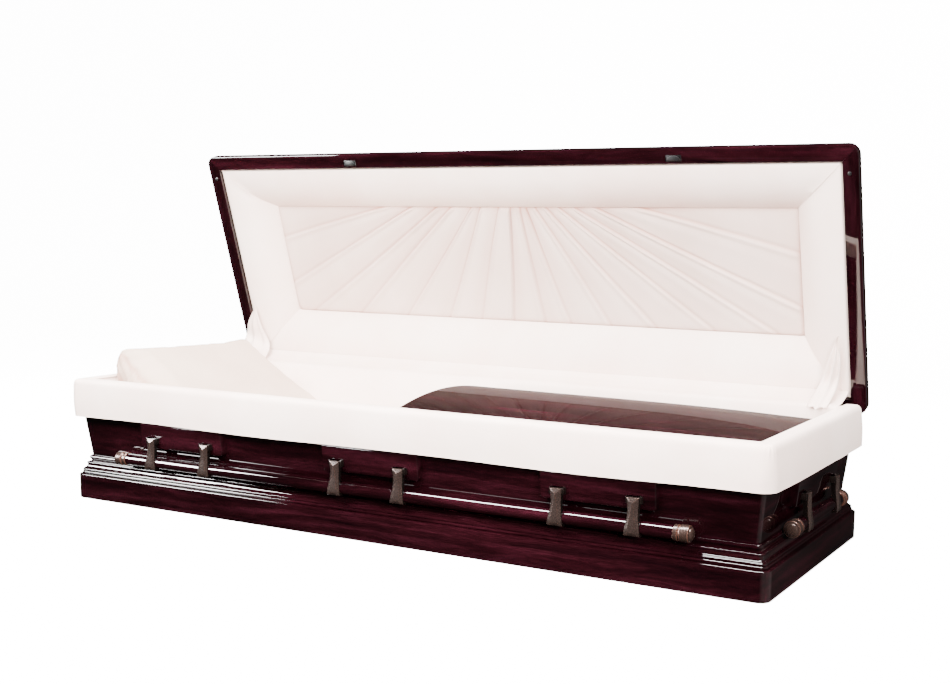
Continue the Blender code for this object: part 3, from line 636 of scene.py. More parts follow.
def mitred(side: Side, half_length: float, half_width: float, section: Section,
           steps: int = 8) -> bmesh.types.BMesh:
    """One length of a mitred moulding, with rounded corners where the section has a radius.

    Args:
        side: which side of the casket it lies on.
        half_length: half the frame's length.
        half_width: half the frame's width.
        section: inset, height and corner radius of each point.
        steps: stations in each half corner.

    Returns:
        The new bmesh.
    """
    run, distance = SIZES.extents(side, half_length, half_width)
    stations = []
    for end in (-1, 1):
        angles = [math.pi / 4 * (1 - step / steps) for step in range(steps + 1)]
        if end > 0:
            angles.reverse()
        for angle in angles:
            station = []
            for inset, height, radius in section:
                along = end * (run - inset - radius + radius * math.sin(angle))
                out = distance - inset - radius + radius * math.cos(angle) + EASE
                station.append(side.place(along, out, height))
            stations.append(station)
    return sweep(stations)


def round_ring(long_count: int, short_count: int) -> Iterable[tuple[float, float, float, bool]]:
    """Stations round a rectangle from its head front corner.

    Args:
        long_count: stations along a long side.
        short_count: stations along a short side.

    Yields:
        x and y as shares of the half sizes, the share of the way along the side, and whether that side
        is a long one.
    """
    corners = [(-1, -1), (1, -1), (1, 1), (-1, 1)]
    for index, (x_sign, y_sign) in enumerate(corners):
        next_x, next_y = corners[(index + 1) % 4]
        is_long = y_sign == next_y
        count = long_count if is_long else short_count
        for step in range(count):
            share = step / count
            yield (x_sign * (1 - share) + next_x * share, y_sign * (1 - share) + next_y * share,
                   share, is_long)


def turned(profile: Sequence[tuple[float, float]], steps: int = 48) -> bmesh.types.BMesh:
    """Spin a half outline about Z.

    Args:
        profile: radius and height of each point, from the top down.
        steps: faces round the piece.

    Returns:
        The new bmesh.
    """
    work = bmesh.new()
    verts = [work.verts.new((radius, 0.0, height)) for radius, height in profile]
    edges = [work.edges.new(pair) for pair in zip(verts, verts[1:])]
    bmesh.ops.spin(work, geom=verts + edges, axis=(0, 0, 1), cent=(0, 0, 0), angle=math.tau,
                   steps=steps, use_merge=True)
    return work


def box(low: Sequence[float], high: Sequence[float], edge: float = 0.0) -> bmesh.types.BMesh:
    """A box between two corners with softened edges.

    Args:
        low: lowest corner.
        high: highest corner.
        edge: radius of its edges.

    Returns:
        The new bmesh.
    """
    work = bmesh.new()
    bmesh.ops.create_cube(work, size=1.0)
    bmesh.ops.scale(work, vec=Vector(high) - Vector(low), verts=work.verts)
    bmesh.ops.translate(work, vec=(Vector(high) + Vector(low)) / 2, verts=work.verts)
    if edge:
        soften(work, edge)
    return work


def soften(work: bmesh.types.BMesh, width: float, angle: float = 25.0, segments: int = 2) -> list:
    """Bevel the sharp edges of a mesh.

    Args:
        work: the mesh.
        width: how far the bevel reaches from each edge.
        angle: edges sharper than this many degrees are bevelled.
        segments: faces across each bevel.

    Returns:
        The bevel's faces.
    """
    bmesh.ops.remove_doubles(work, verts=work.verts, dist=1e-6)
    bmesh.ops.recalc_face_normals(work, faces=work.faces)
    limit = math.radians(angle)
    sharp = [edge for edge in work.edges if edge.is_manifold and edge.calc_face_angle(0.0) > limit]
    return bevel(work, sharp, width, segments)


def bevel(work: bmesh.types.BMesh, edges: Sequence[bmesh.types.BMEdge], width: float, segments: int) -> list:
    """Round some edges of a mesh.

    Args:
        work: the mesh.
        edges: its edges to round.
        width: how far the rounding reaches from each edge.
        segments: facets across it.

    Returns:
        The new faces.
    """
    made = bmesh.ops.bevel(work, geom=edges, offset=width, offset_type="OFFSET", affect="EDGES",
                           segments=segments, profile=0.5, material=-1, clamp_overlap=True)
    return made["faces"]


def face_way(work: bmesh.types.BMesh, way: tuple[float, float, float]) -> None:
    """Turn the faces of an open sheet together, so that most look a given way.

    Args:
        work: the sheet's mesh.
        way: the direction.
    """
    bmesh.ops.recalc_face_normals(work, faces=work.faces)
    if sum(face.normal.dot(Vector(way)) for face in work.faces) < 0:
        bmesh.ops.reverse_faces(work, faces=work.faces)


def add_screw(work: bmesh.types.BMesh, place: Matrix, radius: float, dome: float) -> None:
    """Add a domed screw head to a piece.

    Args:
        work: the piece's mesh.
        place: where the head lies, with its own Z out of the surface.
        radius: the head's radius.
        dome: the dome's height as a share of the radius.
    """
    bmesh.ops.create_uvsphere(work, u_segments=16, v_segments=8, radius=radius,
                              matrix=place @ Matrix.Diagonal((1, 1, dome, 1)))


def link_mesh(name: str, work: bmesh.types.BMesh) -> bpy.types.Object:
    """Turn a bmesh into an object of the scene.

    Args:
        name: the name of the object and of its mesh.
        work: its shape, which is freed.

    Returns:
        The new object.
    """
    mesh = bpy.data.meshes.new(name)
    work.to_mesh(mesh)
    work.free()
    thing = bpy.data.objects.new(name, mesh)
    bpy.context.scene.collection.objects.link(thing)
    return thing


def make_piece(name: str, work: bmesh.types.BMesh, finish: object, body: Optional[str], smooth: float = 35.0,
               replaces: Iterable[str] = ()) -> bpy.types.Object:
    """Turn a bmesh into a finished piece of the casket.

    Args:
        name: the piece's name.
        work: its shape, which is freed.
        finish: the finish that it wears.
        body: the moving body that it rides on, or None to leave it on no moving body.
        smooth: edges flatter than this many degrees are shaded smooth.
        replaces: CAD nodes that it stands for.

    Returns:
        The new object.
    """
    bmesh.ops.remove_doubles(work, verts=work.verts, dist=1e-6)
    bmesh.ops.recalc_face_normals(work, faces=work.faces)
    if work.calc_volume(signed=True) < 0:
        bmesh.ops.reverse_faces(work, faces=work.faces)
    piece = link_mesh(name, work)
    mesh = piece.data
    mesh.shade_smooth()
    if smooth < 180:
        mesh.set_sharp_from_angle(angle=math.radians(smooth))
    mesh.materials.append(WARDROBE.material(finish))
    if body:
        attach(piece, body)
    if replaces:
        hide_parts(*replaces)
    LOG.info("%s: %d faces", name, len(mesh.polygons))
    return piece


def open_lid(work: bmesh.types.BMesh) -> bmesh.types.BMesh:
    """Turn a piece of the shut lid to its open place, and return it."""
    bmesh.ops.transform(work, matrix=SIZES.lid_turn, verts=work.verts)
    return work


def ripple(point: Vector, scale: float, seed: float) -> float:
    """Smooth noise between about -1 and 1 at a point."""
    return noise.noise(point * scale + Vector((seed, seed * 0.7, -seed)))


def apply_modifier(piece: bpy.types.Object, name: str) -> None:
    """Bake one modifier of a piece into its mesh.

    Args:
        piece: the object.
        name: the modifier's name.
    """
    graph = bpy.context.evaluated_depsgraph_get()
    baked = bpy.data.meshes.new_from_object(piece.evaluated_get(graph))
    piece.modifiers.remove(piece.modifiers[name])
    old = piece.data
    piece.data = baked
    bpy.data.meshes.remove(old)


# Wood of the shell.


@dataclass
class BaseMoulding:
    """The board, double bead, cove, small bead and torus round the foot of the shell."""

    sizes: Sizes = SIZES

    def section(self) -> Section:
        """Outline of the moulding.

        Returns:
            Inset, height and corner radius of each point.
        """
        top = self.sizes.board_height
        face = [(0.0012, 0.0), (0.0, 0.0012), (0.0, top - 0.003)]
        face += bulge((0.003, top - 0.003), 0.003, 15, 90, 5)
        face += [(0.0100, top + 0.0004)]
        face += bulge((0.0128, top + 0.0048), 0.0040, -75, 68, 9)
        face += bulge((0.0140, top + 0.0122), 0.0036, -62, 80, 9)
        cove = []
        for step in range(9):
            angle = math.radians(90 * step / 8)
            cove.append((0.0142 + 0.0072 * math.sin(angle), top + 0.0168 + 0.0120 * (1 - math.cos(angle))))
        face += cove
        face += bulge((0.0226, top + 0.0318), 0.0026, -85, 85, 8)
        face += [(0.0262, top + 0.0350), (0.0290, top + 0.0364), (0.0300, top + 0.0376)]
        face += bulge((0.0325, self.sizes.moulding_top - 0.0068), 0.0066, -60, 78, 10)
        section = [(inset, height, max(self.sizes.wall_corner, self.sizes.base_corner - inset))
                   for inset, height in face]
        slope = self.sizes.flare_rate
        foot = self.sizes.shell_inset + slope * (self.sizes.shell_foot_z - self.sizes.floor_z)
        crest = self.sizes.shell_inset + slope * (self.sizes.shell_foot_z - self.sizes.moulding_top)
        section.append((crest - GAP, self.sizes.moulding_top, self.sizes.wall_corner))
        section.append((foot - GAP, self.sizes.floor_z, self.sizes.wall_corner))
        section.append((self.sizes.moulding_foot, self.sizes.floor_z, 0.0))
        section.append((self.sizes.moulding_foot, 0.0, 0.0))
        return section

    def build(self) -> None:
        """Build the four mitred lengths."""
        for side in Side:
            work = mitred(side, self.sizes.base_half_length, self.sizes.base_half_width, self.section())
            make_piece("moulding_" + side.value, work, Mahogany(side.grain), "shell",
                       replaces=["base_" + side.value])


@dataclass
class ShellWalls:
    """The flared walls with their raised handle plaques, and the plain bottom board."""

    sizes: Sizes = SIZES
    plaque_half: float = 0.149
    end_plaque_half: float = 0.160
    plaque_corner: float = 0.008
    plaque_edge: float = 0.0024
    middles: tuple[float, ...] = (-0.647, 0.0, 0.647)

    def wall(self, side: Side) -> None:
        """Build one wall."""
        top = self.sizes.shell_top_z
        inset_at = self.sizes.shell_inset_at
        foot = self.sizes.floor_z
        curve, lip = 0.0028, 0.0032
        round_top = [(lip - curve * math.sin(math.radians(a)), top - curve * (1 - math.cos(math.radians(a))))
                     for a in (0, 22, 45, 67, 90)]
        section = [(i + inset_at(z), z, self.sizes.wall_corner) for i, z in round_top]
        section += [(inset_at(foot), foot, self.sizes.wall_corner),
                    (inset_at(foot) + self.sizes.wall, foot, 0.0), (self.sizes.wall, top, 0.0)]
        work = mitred(side, self.sizes.top_half_length, self.sizes.top_half_width, section)
        make_piece("shell_side_" + side.value, work, Mahogany(side.grain), "shell",
                   replaces=["wall_" + side.value])

    def plaque(self, side: Side, middle: float, half: float, number: int) -> None:
        """Build one raised plaque.

        Args:
            side: the side it is on.
            middle: where its centre lies along the side.
            half: half its length.
            number: its number on that side, from 1.
        """
        low, top, corner = self.sizes.plaque_low_z, self.sizes.plaque_top_z, self.plaque_corner
        outline = [(half, top), (-half, top)]
        for centre, start in (((-half + corner, low + corner), 180), ((half - corner, low + corner), 270)):
            for step in range(7):
                angle = math.radians(start + 15 * step)
                outline.append((centre[0] + corner * math.cos(angle), centre[1] + corner * math.sin(angle)))
        work = bmesh.new()
        verts = [work.verts.new(side.place(middle + along, self.sizes.wall_face(side, z) + GAP, z))
                 for along, z in outline]
        face = work.faces.new(verts)
        grown = bmesh.ops.extrude_face_region(work, geom=[face])["geom"]
        moved = [item for item in grown if isinstance(item, bmesh.types.BMVert)]
        shift = side.place(0.0, self.sizes.plaque_thick, 0.0)
        bmesh.ops.translate(work, vec=shift, verts=moved)
        bmesh.ops.recalc_face_normals(work, faces=work.faces)
        outer = set(moved)
        rim = [edge for edge in work.edges if edge.verts[0] in outer and edge.verts[1] in outer]
        bevel(work, rim, self.plaque_edge, 4)
        node = "plaque_{}_{}".format(side.value, number)
        # The plaques of the back and the head are part of their walls' nodes.
        known = [node] if side in (Side.FRONT, Side.FOOT) else []
        make_piece("panel_{}_{}".format(side.value, number), work, Mahogany(side.grain), "shell",
                   replaces=known)

    def build(self, frame: dict) -> None:
        """Build the walls, the plaques and the bottom's finish.
        """
        for side in Side:
            self.wall(side)
            places = self.middles if side.is_long else (0.0,)
            half = self.plaque_half if side.is_long else self.end_plaque_half
            for number, middle in enumerate(places, start=1):
                self.plaque(side, middle, half, number)
        bottom = frame["nodes"]["bottom_board"]
        bottom.data.materials.clear()
        bottom.data.materials.append(WARDROBE.material(RAW_BOARD))


# Handles.


@dataclass
class SwingHandle:
    """A swing handle: a mahogany bar in cast arms, with turned end caps."""

    side: Side
    arms: tuple[float, ...]
    bar_end: float
    sizes: Sizes = SIZES
    knuckle: float = 0.0065
    knuckle_half: float = 0.0145
    ear_half: float = 0.0085
    cap_length: float = 0.046
    cap_radius: float = 0.0205

    @property
    def body(self) -> str:
        """Name of the moving body."""
        return "handle_" + self.side.value

    @property
    def out(self) -> float:
        """Distance of the bar's centre from the casket's centre."""
        return self.sizes.pivot_distance(self.side) + self.sizes.bar_out

    @property
    def bar_z(self) -> float:
        """Height of the bar's centre."""
        return self.sizes.pivot_z - self.sizes.bar_drop

    def lay(self, work: bmesh.types.BMesh, along: float, toward: int) -> bmesh.types.BMesh:
        """Lay a turned piece's own +Z along the bar.

        Args:
            work: the turned piece.
            along: where its own origin goes along the side.
            toward: +1 or -1, the way its own +Z points along the side.

        Returns:
            The same bmesh.
        """
        direction = self.side.place(toward, 0.0, 0.0)
        turn = direction.to_track_quat("Z", "Y").to_matrix().to_4x4()
        place = Matrix.Translation(self.side.place(along, self.out, self.bar_z))
        bmesh.ops.transform(work, matrix=place @ turn, verts=work.verts)
        return work

    def bar(self) -> None:
        """Build the bar."""
        radius = self.sizes.bar_radius
        work = turned([(0.0, self.bar_end), (radius, self.bar_end), (radius, -self.bar_end),
                       (0.0, -self.bar_end)], steps=64)
        make_piece("rail_" + self.side.value, self.lay(work, 0.0, 1), Mahogany(self.side.grain), self.body,
                   replaces=["bar_" + self.side.value])

    def cap(self, number: int, toward: int) -> None:
        """Build one end cap: collar, groove, barrel and domed button.

        Args:
            number: 1 or 2.
            toward: which end of the bar.
        """
        length, radius = self.cap_length, self.cap_radius
        rim = radius - 0.0012
        button = [(0.0, length), (0.0060, length - 0.0004), (0.0105, length - 0.0018),
                  (0.0138, length - 0.0040), (0.0150, length - 0.0062), (0.0152, length - 0.0070),
                  (0.0172, length - 0.0072)]
        barrel = [(rim, length - 0.0082), (radius - 0.0003, length - 0.0096), (radius, length - 0.0115),
                  (radius, 0.0168)]
        groove = [(radius - 0.0006, 0.0150), (radius - 0.0028, 0.0141), (radius - 0.0034, 0.0130),
                  (radius - 0.0034, 0.0118), (radius - 0.0024, 0.0108)]
        collar = [(rim, 0.0098), (rim, 0.0014), (rim - 0.0012, 0.0), (0.0, 0.0)]
        work = turned(button + barrel + groove + collar, steps=56)
        layer = work.faces.layers.float.new("worn")
        for face in work.faces:
            height = face.calc_center_median().z
            near = min(abs(height - edge) for edge in (length - 0.0090, 0.0155, 0.0104, 0.0007))
            face[layer] = 1.0 if near < 0.0011 else 0.12
        name = "end_cap_{}_{}".format(self.side.value, number)
        make_piece(name, self.lay(work, toward * (self.bar_end + GAP), toward), BRONZE, self.body, smooth=40,
                   replaces=["cap_{}_{}".format(self.side.value, number)])

    def outline(self) -> list[tuple[tuple[float, float], tuple[float, ...], tuple[float, ...]]]:
        """Side view of an arm about its pivot.

        Returns:
            For each point its place (out, height), then the half widths and the setbacks of its edge,
            of the ridge beside its middle facet and of the small chevron at its foot.
        """
        drop, face = self.sizes.bar_drop, self.sizes.bar_out + self.sizes.bar_radius
        outer = [
            ((0.0012, 0.0066), 0.0146, 0.0, 0.0, 0.0),
            ((0.0076, 0.0062), 0.0142, 0.0, 0.0, 0.0),
            ((0.0118, -0.0052), 0.0005, 0.0044, 0.0, 0.0),
            ((0.0116, -0.0240), 0.0036, 0.0050, 0.0, 0.0),
            ((0.0128, -0.0430), 0.0070, 0.0040, 0.0, 0.0),
            ((face + 0.0048, -drop), 0.0096, 0.0028, 0.0, 0.0),
            ((face + 0.0048, -drop - 0.0105), 0.0104, 0.0020, 0.0, 0.0),
            ((face + 0.0030, -drop - 0.0170), 0.0108, 0.0008, 0.0054, 0.0016),
            ((face + 0.0004, -drop - 0.0190), 0.0112, 0.0, 0.0070, 0.0004),
        ]
        seat = self.sizes.bar_radius + GAP
        inner = [(self.sizes.bar_out + 0.0060, -drop - seat - 0.0030)]
        for step in range(11):
            angle = math.radians(-75 + 15 * step)
            inner.append((self.sizes.bar_out + seat * math.cos(angle), -drop + seat * math.sin(angle)))
        inner += [(self.sizes.bar_out + 0.0020, -0.0400), (-0.0040, -0.0300), (-0.0058, -0.0140)]
        for step in range(7):
            angle = math.radians(-180 - 15 * step)
            inner.append((self.knuckle * math.cos(angle), self.knuckle * math.sin(angle)))
        points = []
        for place, ridge, setback, chevron, nick in outer:
            points.append((place, (self.half_at(place[1]), ridge, chevron or 0.0003), (setback, 0.0, nick)))
        for place in inner:
            half = self.half_at(place[1])
            points.append((place, (half, half * 0.6, half * 0.2), (0.0, 0.0, 0.0)))
        return points

    def half_at(self, height: float) -> float:
        """Half the arm's width at a height from its pivot: waisted below the knuckle, wide at the foot."""
        knots = ((0.0070, 0.0147), (-0.0060, 0.0143), (-0.0220, 0.0130), (-0.0420, 0.0140),
                 (-0.0640, 0.0180), (-0.0840, 0.0208))
        for (high, wide), (low, next_wide) in zip(knots, knots[1:]):
            if height >= low:
                share = min(1.0, max(0.0, (high - height) / (high - low)))
                return wide + (next_wide - wide) * share
        return knots[-1][1]

    def arm(self, number: int, along: float) -> None:
        """Build one cast arm with its faceted face, softened edges and chevron.

        Args:
            number: its number on this side, from 1.
            along: where it is along the side.
        """
        pivot = self.sizes.pivot_distance(self.side)
        stations = []
        for sign, layer in ((-1, 0), (-1, 1), (-1, 2), (1, 2), (1, 1), (1, 0)):
            station = []
            for (out, height), halves, setbacks in self.outline():
                reach = pivot + out - setbacks[layer]
                station.append(self.side.place(along + sign * halves[layer], reach,
                                               self.sizes.pivot_z + height))
            stations.append(station)
        work = sweep(stations)
        worn = work.faces.layers.float.new("worn")
        deep = work.faces.layers.float.new("deep")
        faces = soften(work, 0.00045, angle=16, segments=2)
        for face in faces:
            face[worn] = 1.0
        # Painted shade: the arm's side faces, which look along the bar, are darkened.
        across = self.side.place(1.0, 0.0, 0.0)
        for face in work.faces:
            if abs(face.normal.dot(across)) > 0.9:
                face[deep] = 0.85
        name = "cast_arm_{}_{}".format(self.side.value, number)
        make_piece(name, work, BRONZE, self.body, smooth=30,
                   replaces=["arm_{}_{}".format(self.side.value, number)])

    def lug(self, number: int, along: float) -> None:
        """Build the clevis on the plaque that one arm turns in.

        Args:
            number: its number on this side, from 1.
            along: where it is along the side.
        """
        pivot = self.sizes.pivot_distance(self.side)
        face = pivot - self.sizes.pivot_out
        ear_low, ear_high = self.knuckle_half + 0.0012, self.knuckle_half + 0.0046
        plate = face + self.sizes.pivot_out - self.knuckle - 0.0012
        tip = pivot + 0.0050
        plan = [(-ear_high, face), (ear_high, face), (ear_high, tip), (ear_low, tip),
                (ear_low, plate), (-ear_low, plate), (-ear_low, tip), (-ear_high, tip)]
        centre = self.sizes.pivot_z
        stations = [[self.side.place(along + shift, out, z) for shift, out in plan]
                    for z in (centre - self.ear_half, centre + self.ear_half)]
        work = sweep(stations)
        deep = work.faces.layers.float.new("deep")
        soften(work, 0.0007, segments=2)
        # Painted shade: the whole clevis is darkened toward near black.
        for item in work.faces:
            item[deep] = 0.7
        make_piece("clevis_{}_{}".format(self.side.value, number), work, BRONZE, "shell")

    def build(self) -> None:
        """Build the whole handle."""
        self.bar()
        for number, toward in enumerate((-1, 1), start=1):
            self.cap(number, toward)
        for number, along in enumerate(self.arms, start=1):
            self.arm(number, along)
            self.lug(number, along)


# Lid.


@dataclass
class LidShell:
    """The lid's four moulded rails, its crowned top, catches and bumpers."""

    sizes: Sizes = SIZES
    catch_places: tuple[float, float] = (-0.493, 0.569)
    catch_size: tuple[float, float] = (0.046, 0.018)
    catch_inset: float = 0.027

    def section(self) -> Section:
        """Outline of a rail.

        Returns:
            Inset, height and corner radius of each point.
        """
        side = self.sizes.lid_side
        outer = [(0.0028, 0.0), (0.0010, 0.0006), (0.0002, 0.0022), (0.0, 0.004), (0.0, side - 0.004)]
        outer += bulge((0.0036, side - 0.0036), 0.0036, 10, 90, 5)
        outer += [(0.0078, side + 0.0004)]
        outer += bulge((0.0124, side + 0.0056), 0.0046, -70, 60, 7)
        start = (0.0118, side + 0.0110)
        end = (self.sizes.shoulder - 0.0045, self.sizes.shoulder_height - 0.0014)
        for step in range(25):
            rate = step / 24
            gained = rate - 0.10 * math.sin(2 * math.pi * rate)
            outer.append((start[0] + (end[0] - start[0]) * rate, start[1] + (end[1] - start[1]) * gained))
        outer.append((self.sizes.shoulder, self.sizes.shoulder_height))
        ledge = self.sizes.shoulder_height - self.sizes.lid_board - GAP
        reach = self.sizes.shoulder + self.sizes.crown_ledge
        width = self.sizes.rim_width
        inner = [(self.sizes.shoulder, ledge), (reach, ledge), (reach, ledge - 0.008), (width, 0.036),
                 (width, 0.0008), (width - 0.0008, 0.0)]
        plane = self.sizes.rim_z
        section = [(inset, plane + height, max(0.0, self.sizes.lid_corner - inset))
                   for inset, height in outer]
        return section + [(inset, plane + height, 0.0) for inset, height in inner]

    def rails(self) -> None:
        """Build the four rails."""
        for side in Side:
            work = mitred(side, self.sizes.lid_half_length, self.sizes.lid_half_width, self.section())
            rail = make_piece("lid_moulding_" + side.value, open_lid(work), Mahogany(side.grain, on_lid=True),
                              "lid", replaces=["lid_rail_" + side.value])
            if side is Side.FRONT:
                self.cut_pockets(rail)

    def cut_pockets(self, rail: bpy.types.Object) -> None:
        """Cut the catches' pockets into the front rail.

        Args:
            rail: the front rail.
        """
        middle = -self.sizes.lid_half_width + self.catch_inset
        length, width = self.catch_size
        plane = self.sizes.rim_z
        for number, place in enumerate(self.catch_places, start=1):
            low = (place - length / 2 - GAP, middle - width / 2 - GAP, plane - 0.002)
            high = (place + length / 2 + GAP, middle + width / 2 + GAP, plane + 0.0045)
            cutter = link_mesh("pocket", open_lid(box(low, high)))
            step = rail.modifiers.new("pocket", "BOOLEAN")
            step.operation = "DIFFERENCE"
            step.object = cutter
            apply_modifier(rail, "pocket")
            bpy.data.objects.remove(cutter, do_unlink=True)
            self.catch(number, place, middle)

    def catch(self, number: int, place: float, middle: float) -> None:
        """Build one catch keeper: a plate, a half-round hood and two screws.

        Args:
            number: 1 or 2.
            place: where it is along X.
            middle: where its middle is across the shut lid.
        """
        length, width = self.catch_size
        top = self.sizes.rim_z + 0.0042
        low = (place - length / 2, middle - width / 2, top - 0.0025)
        high = (place + length / 2, middle + width / 2, top)
        work = box(low, high, 0.0008)
        # The keeper's hood is half round toward the lid's edge and straight toward the lining.
        hood = []
        for step in range(13):
            angle = math.radians(15 * step)
            hood.append((place + 0.0185 * math.cos(angle), middle + 0.0060 - 0.0135 * math.sin(angle)))
        part = sweep([[Vector((x, y, z)) for x, y in hood] for z in (top - 0.0058, top - 0.0020)])
        soften(part, 0.0010)
        mesh = bpy.data.meshes.new("part")
        part.to_mesh(mesh)
        part.free()
        work.from_mesh(mesh)
        bpy.data.meshes.remove(mesh)
        for offset in (-0.0205, 0.0205):
            spot = Matrix.Translation((place + offset, middle + 0.0050, top - 0.0022))
            add_screw(work, spot, 0.0018, 0.45)
        make_piece("keeper_{}".format(number), open_lid(work), BLACK_NYLON, "lid",
                   replaces=["catch_{}".format(number)])

    def bumpers(self) -> None:
        """Build the small round buffers near the rim's corners."""
        for number, x_sign in enumerate((-1, 1), start=1):
            work = turned([(0.0, 0.0030), (0.0030, 0.0028), (0.0048, 0.0018), (0.0054, 0.0), (0.0, 0.0)],
                          steps=24)
            x = x_sign * (self.sizes.lid_half_length - self.sizes.rim_width / 2 - 0.003)
            place = Matrix.Translation((x, -self.sizes.lid_half_width + 0.072, self.sizes.rim_z + 0.0001))
            flip = Matrix.Rotation(math.pi, 4, "X")
            bmesh.ops.transform(work, matrix=place @ flip, verts=work.verts)
            make_piece("bumper_{}".format(number), open_lid(work), BLACK_NYLON, "lid")

    def crown(self) -> None:
        """Build the crowned top board."""
        half_length = self.sizes.lid_half_length - self.sizes.shoulder - GAP
        half_width = self.sizes.lid_half_width - self.sizes.shoulder - GAP
        base = self.sizes.rim_z + self.sizes.shoulder_height
        work = bmesh.new()
        bmesh.ops.create_grid(work, x_segments=96, y_segments=40, size=1.0)
        for vert in work.verts:
            along, across = vert.co.x, vert.co.y
            rise = self.sizes.crown_rise * (1 - across * across) * (1 - abs(along) ** 3)
            vert.co = Vector((along * half_length, across * half_width, base + rise))
        face_way(work, (0, 0, 1))
        bmesh.ops.solidify(work, geom=work.faces, thickness=self.sizes.lid_board)
        make_piece("lid_top", open_lid(work), Mahogany(GrainWay.ALONG_X, on_lid=True), "lid",
                   replaces=["lid_crown"])

    def build(self) -> None:
        """Build the lid's wood and fittings."""
        self.rails()
        self.crown()
        self.bumpers()


@dataclass
class LidLining:
    """The padded roll round the lid and the pleated sunburst panel."""

    sizes: Sizes = SIZES
    panel_reach: float = 0.362
    # Where each pleat starts along the front edge, and where it ends along the other three edges.
    rays: tuple[tuple[float, float], ...] = (
        (-0.876, 0.0), (-0.430, 0.114), (-0.338, 0.274), (-0.245, 0.448), (-0.195, 0.638), (-0.127, 0.818),
        (-0.095, 0.978), (-0.032, 1.096), (-0.001, 1.191), (0.028, 1.298), (0.050, 1.387), (0.080, 1.519),
        (0.115, 1.664), (0.158, 1.841), (0.208, 2.027), (0.275, 2.187), (0.400, 2.342), (0.876, 2.476))

    def roll(self) -> None:
        """Build the roll: plump sides that meet in sewn mitres."""
        edge = self.sizes.rim_width + EASE + GAP
        inner = self.sizes.panel_inset
        puff = [(edge, 0.016), (edge + 0.003, 0.0105), (edge + 0.010, 0.0078)]
        for step in range(1, 22):
            rate = step / 21
            inset = edge + 0.010 + (inner - edge - 0.010) * rate
            puff.append((inset, 0.0070 + 0.0750 * rate ** 2.6 + 0.004 * (1 - rate) * rate))
        depth = self.sizes.panel_depth + 0.006
        back = [(inner, depth), (0.110, depth), (edge, 0.034)]
        count = len(puff)
        section = puff + back
        half_length, half_width = self.sizes.lid_half_length, self.sizes.lid_half_width
        stations: list[list[Vector]] = []
        for along_x, along_y, share, is_long in round_ring(60, 22):
            seam = min(share, 1 - share) * (2 * half_length if is_long else 2 * half_width)
            pinch = math.exp(-(seam / 0.010) ** 2)
            station = []
            for number, (inset, height) in enumerate(section):
                point = Vector((along_x * (half_length - inset), along_y * (half_width - inset),
                                self.sizes.rim_z + height))
                if 1 < number < count - 1:
                    fade = math.sin(math.pi * number / (count - 1))
                    point.z += fade * (0.0016 * ripple(point, 3.5, 2.0) + 0.0028 * pinch)
                station.append(point)
            stations.append(station)
        stations.append([point.copy() for point in stations[0]])
        work = sweep(stations, closed=True)
        piece = make_piece("lid_padding", open_lid(work), CREPE, "lid", smooth=50, replaces=["lid_roll"])

    def piping(self) -> None:
        """Build the thin cords sewn into the roll's four mitres."""
        inner, edge = self.sizes.panel_inset, self.sizes.rim_width + 0.004
        for number, (x_sign, y_sign) in enumerate(((-1, -1), (1, -1), (1, 1), (-1, 1)), start=1):
            points = []
            for step in range(25):
                rate = step / 24
                inset = edge + (inner - edge) * rate
                height = 0.0070 + 0.0750 * max(0.0, (inset - edge - 0.006) / (inner - edge - 0.006)) ** 2.6
                points.append(Vector((x_sign * (self.sizes.lid_half_length - inset),
                                      y_sign * (self.sizes.lid_half_width - inset),
                                      self.sizes.rim_z + height + 0.0006)))
            make_piece("mitre_piping_{}".format(number), open_lid(self.cord(points, 0.0011)), CREPE, "lid")

    def cord(self, points: Sequence[Vector], radius: float) -> bmesh.types.BMesh:
        """A thin round cord along a row of points.

        Args:
            points: the points it follows.
            radius: its radius.

        Returns:
            The new bmesh.
        """
        stations = []
        for index, point in enumerate(points):
            ahead = points[min(index + 1, len(points) - 1)] - points[max(index - 1, 0)]
            across = ahead.cross(Vector((0, 0, 1))).normalized()
            up = across.cross(ahead).normalized()
            stations.append([point + radius * (math.cos(a) * across + math.sin(a) * up)
                             for a in (math.tau * k / 8 for k in range(8))])
        return sweep(stations)

    def tuck(self, place: Vector) -> tuple[float, float]:
        """Height and shade of the pleats at a place on the panel.

        Args:
            place: x, and the distance from the panel's front edge.

        Returns:
            How far the cloth stands toward the room in metres, and the painted shade of its tucks from 0 to
            1.
        """
        total, shade = 0.0, 0.0
        for number, (start, way, length) in enumerate(self.ray_lines()):
            offset = place - start
            fade = min(1.0, max(0.0, offset.dot(way) / length))
            gap = way.y * offset.x - way.x * offset.y
            gap += 0.0035 * math.sin(math.pi * fade) * math.sin(number * 2.3 + 0.6)
            if abs(gap) > 0.09:
                continue
            chance = random.Random(number * 7 + 3)
            height = (0.0058 + 0.0034 * chance.random()) * (1.0 - 0.35 * fade)
            width = 0.0035 + 0.0030 * chance.random() + 0.0050 * fade
            out = 1.0 if start.x > -0.01 else -1.0
            groove = math.exp(-((gap - out * width * 1.1) / (width * 0.5)) ** 2)
            total += height * math.exp(-(gap / width) ** 2)
            total -= 0.75 * height * groove
            total += 0.45 * height * math.exp(-((gap + out * width * 3.6) / (width * 2.0)) ** 2)
            total -= 0.30 * height * math.exp(-((gap - out * width * 4.4) / (width * 2.4)) ** 2)
            valley = math.exp(-((gap - out * width * 3.0) / (width * 2.2)) ** 2)
            shade += (0.65 * groove + 0.28 * valley) * (1 - 0.5 * fade)
        return total, min(1.0, shade)

    def ray_lines(self) -> list[tuple[Vector, Vector, float]]:
        """Start, direction and length of each pleat, in x and the distance from the panel's front edge."""
        lines = []
        for x, run in self.rays[1:-1]:
            start, end = Vector((x, 0.0)), self.rim_point(run)
            lines.append((start, (end - start).normalized(), (end - start).length))
        return lines

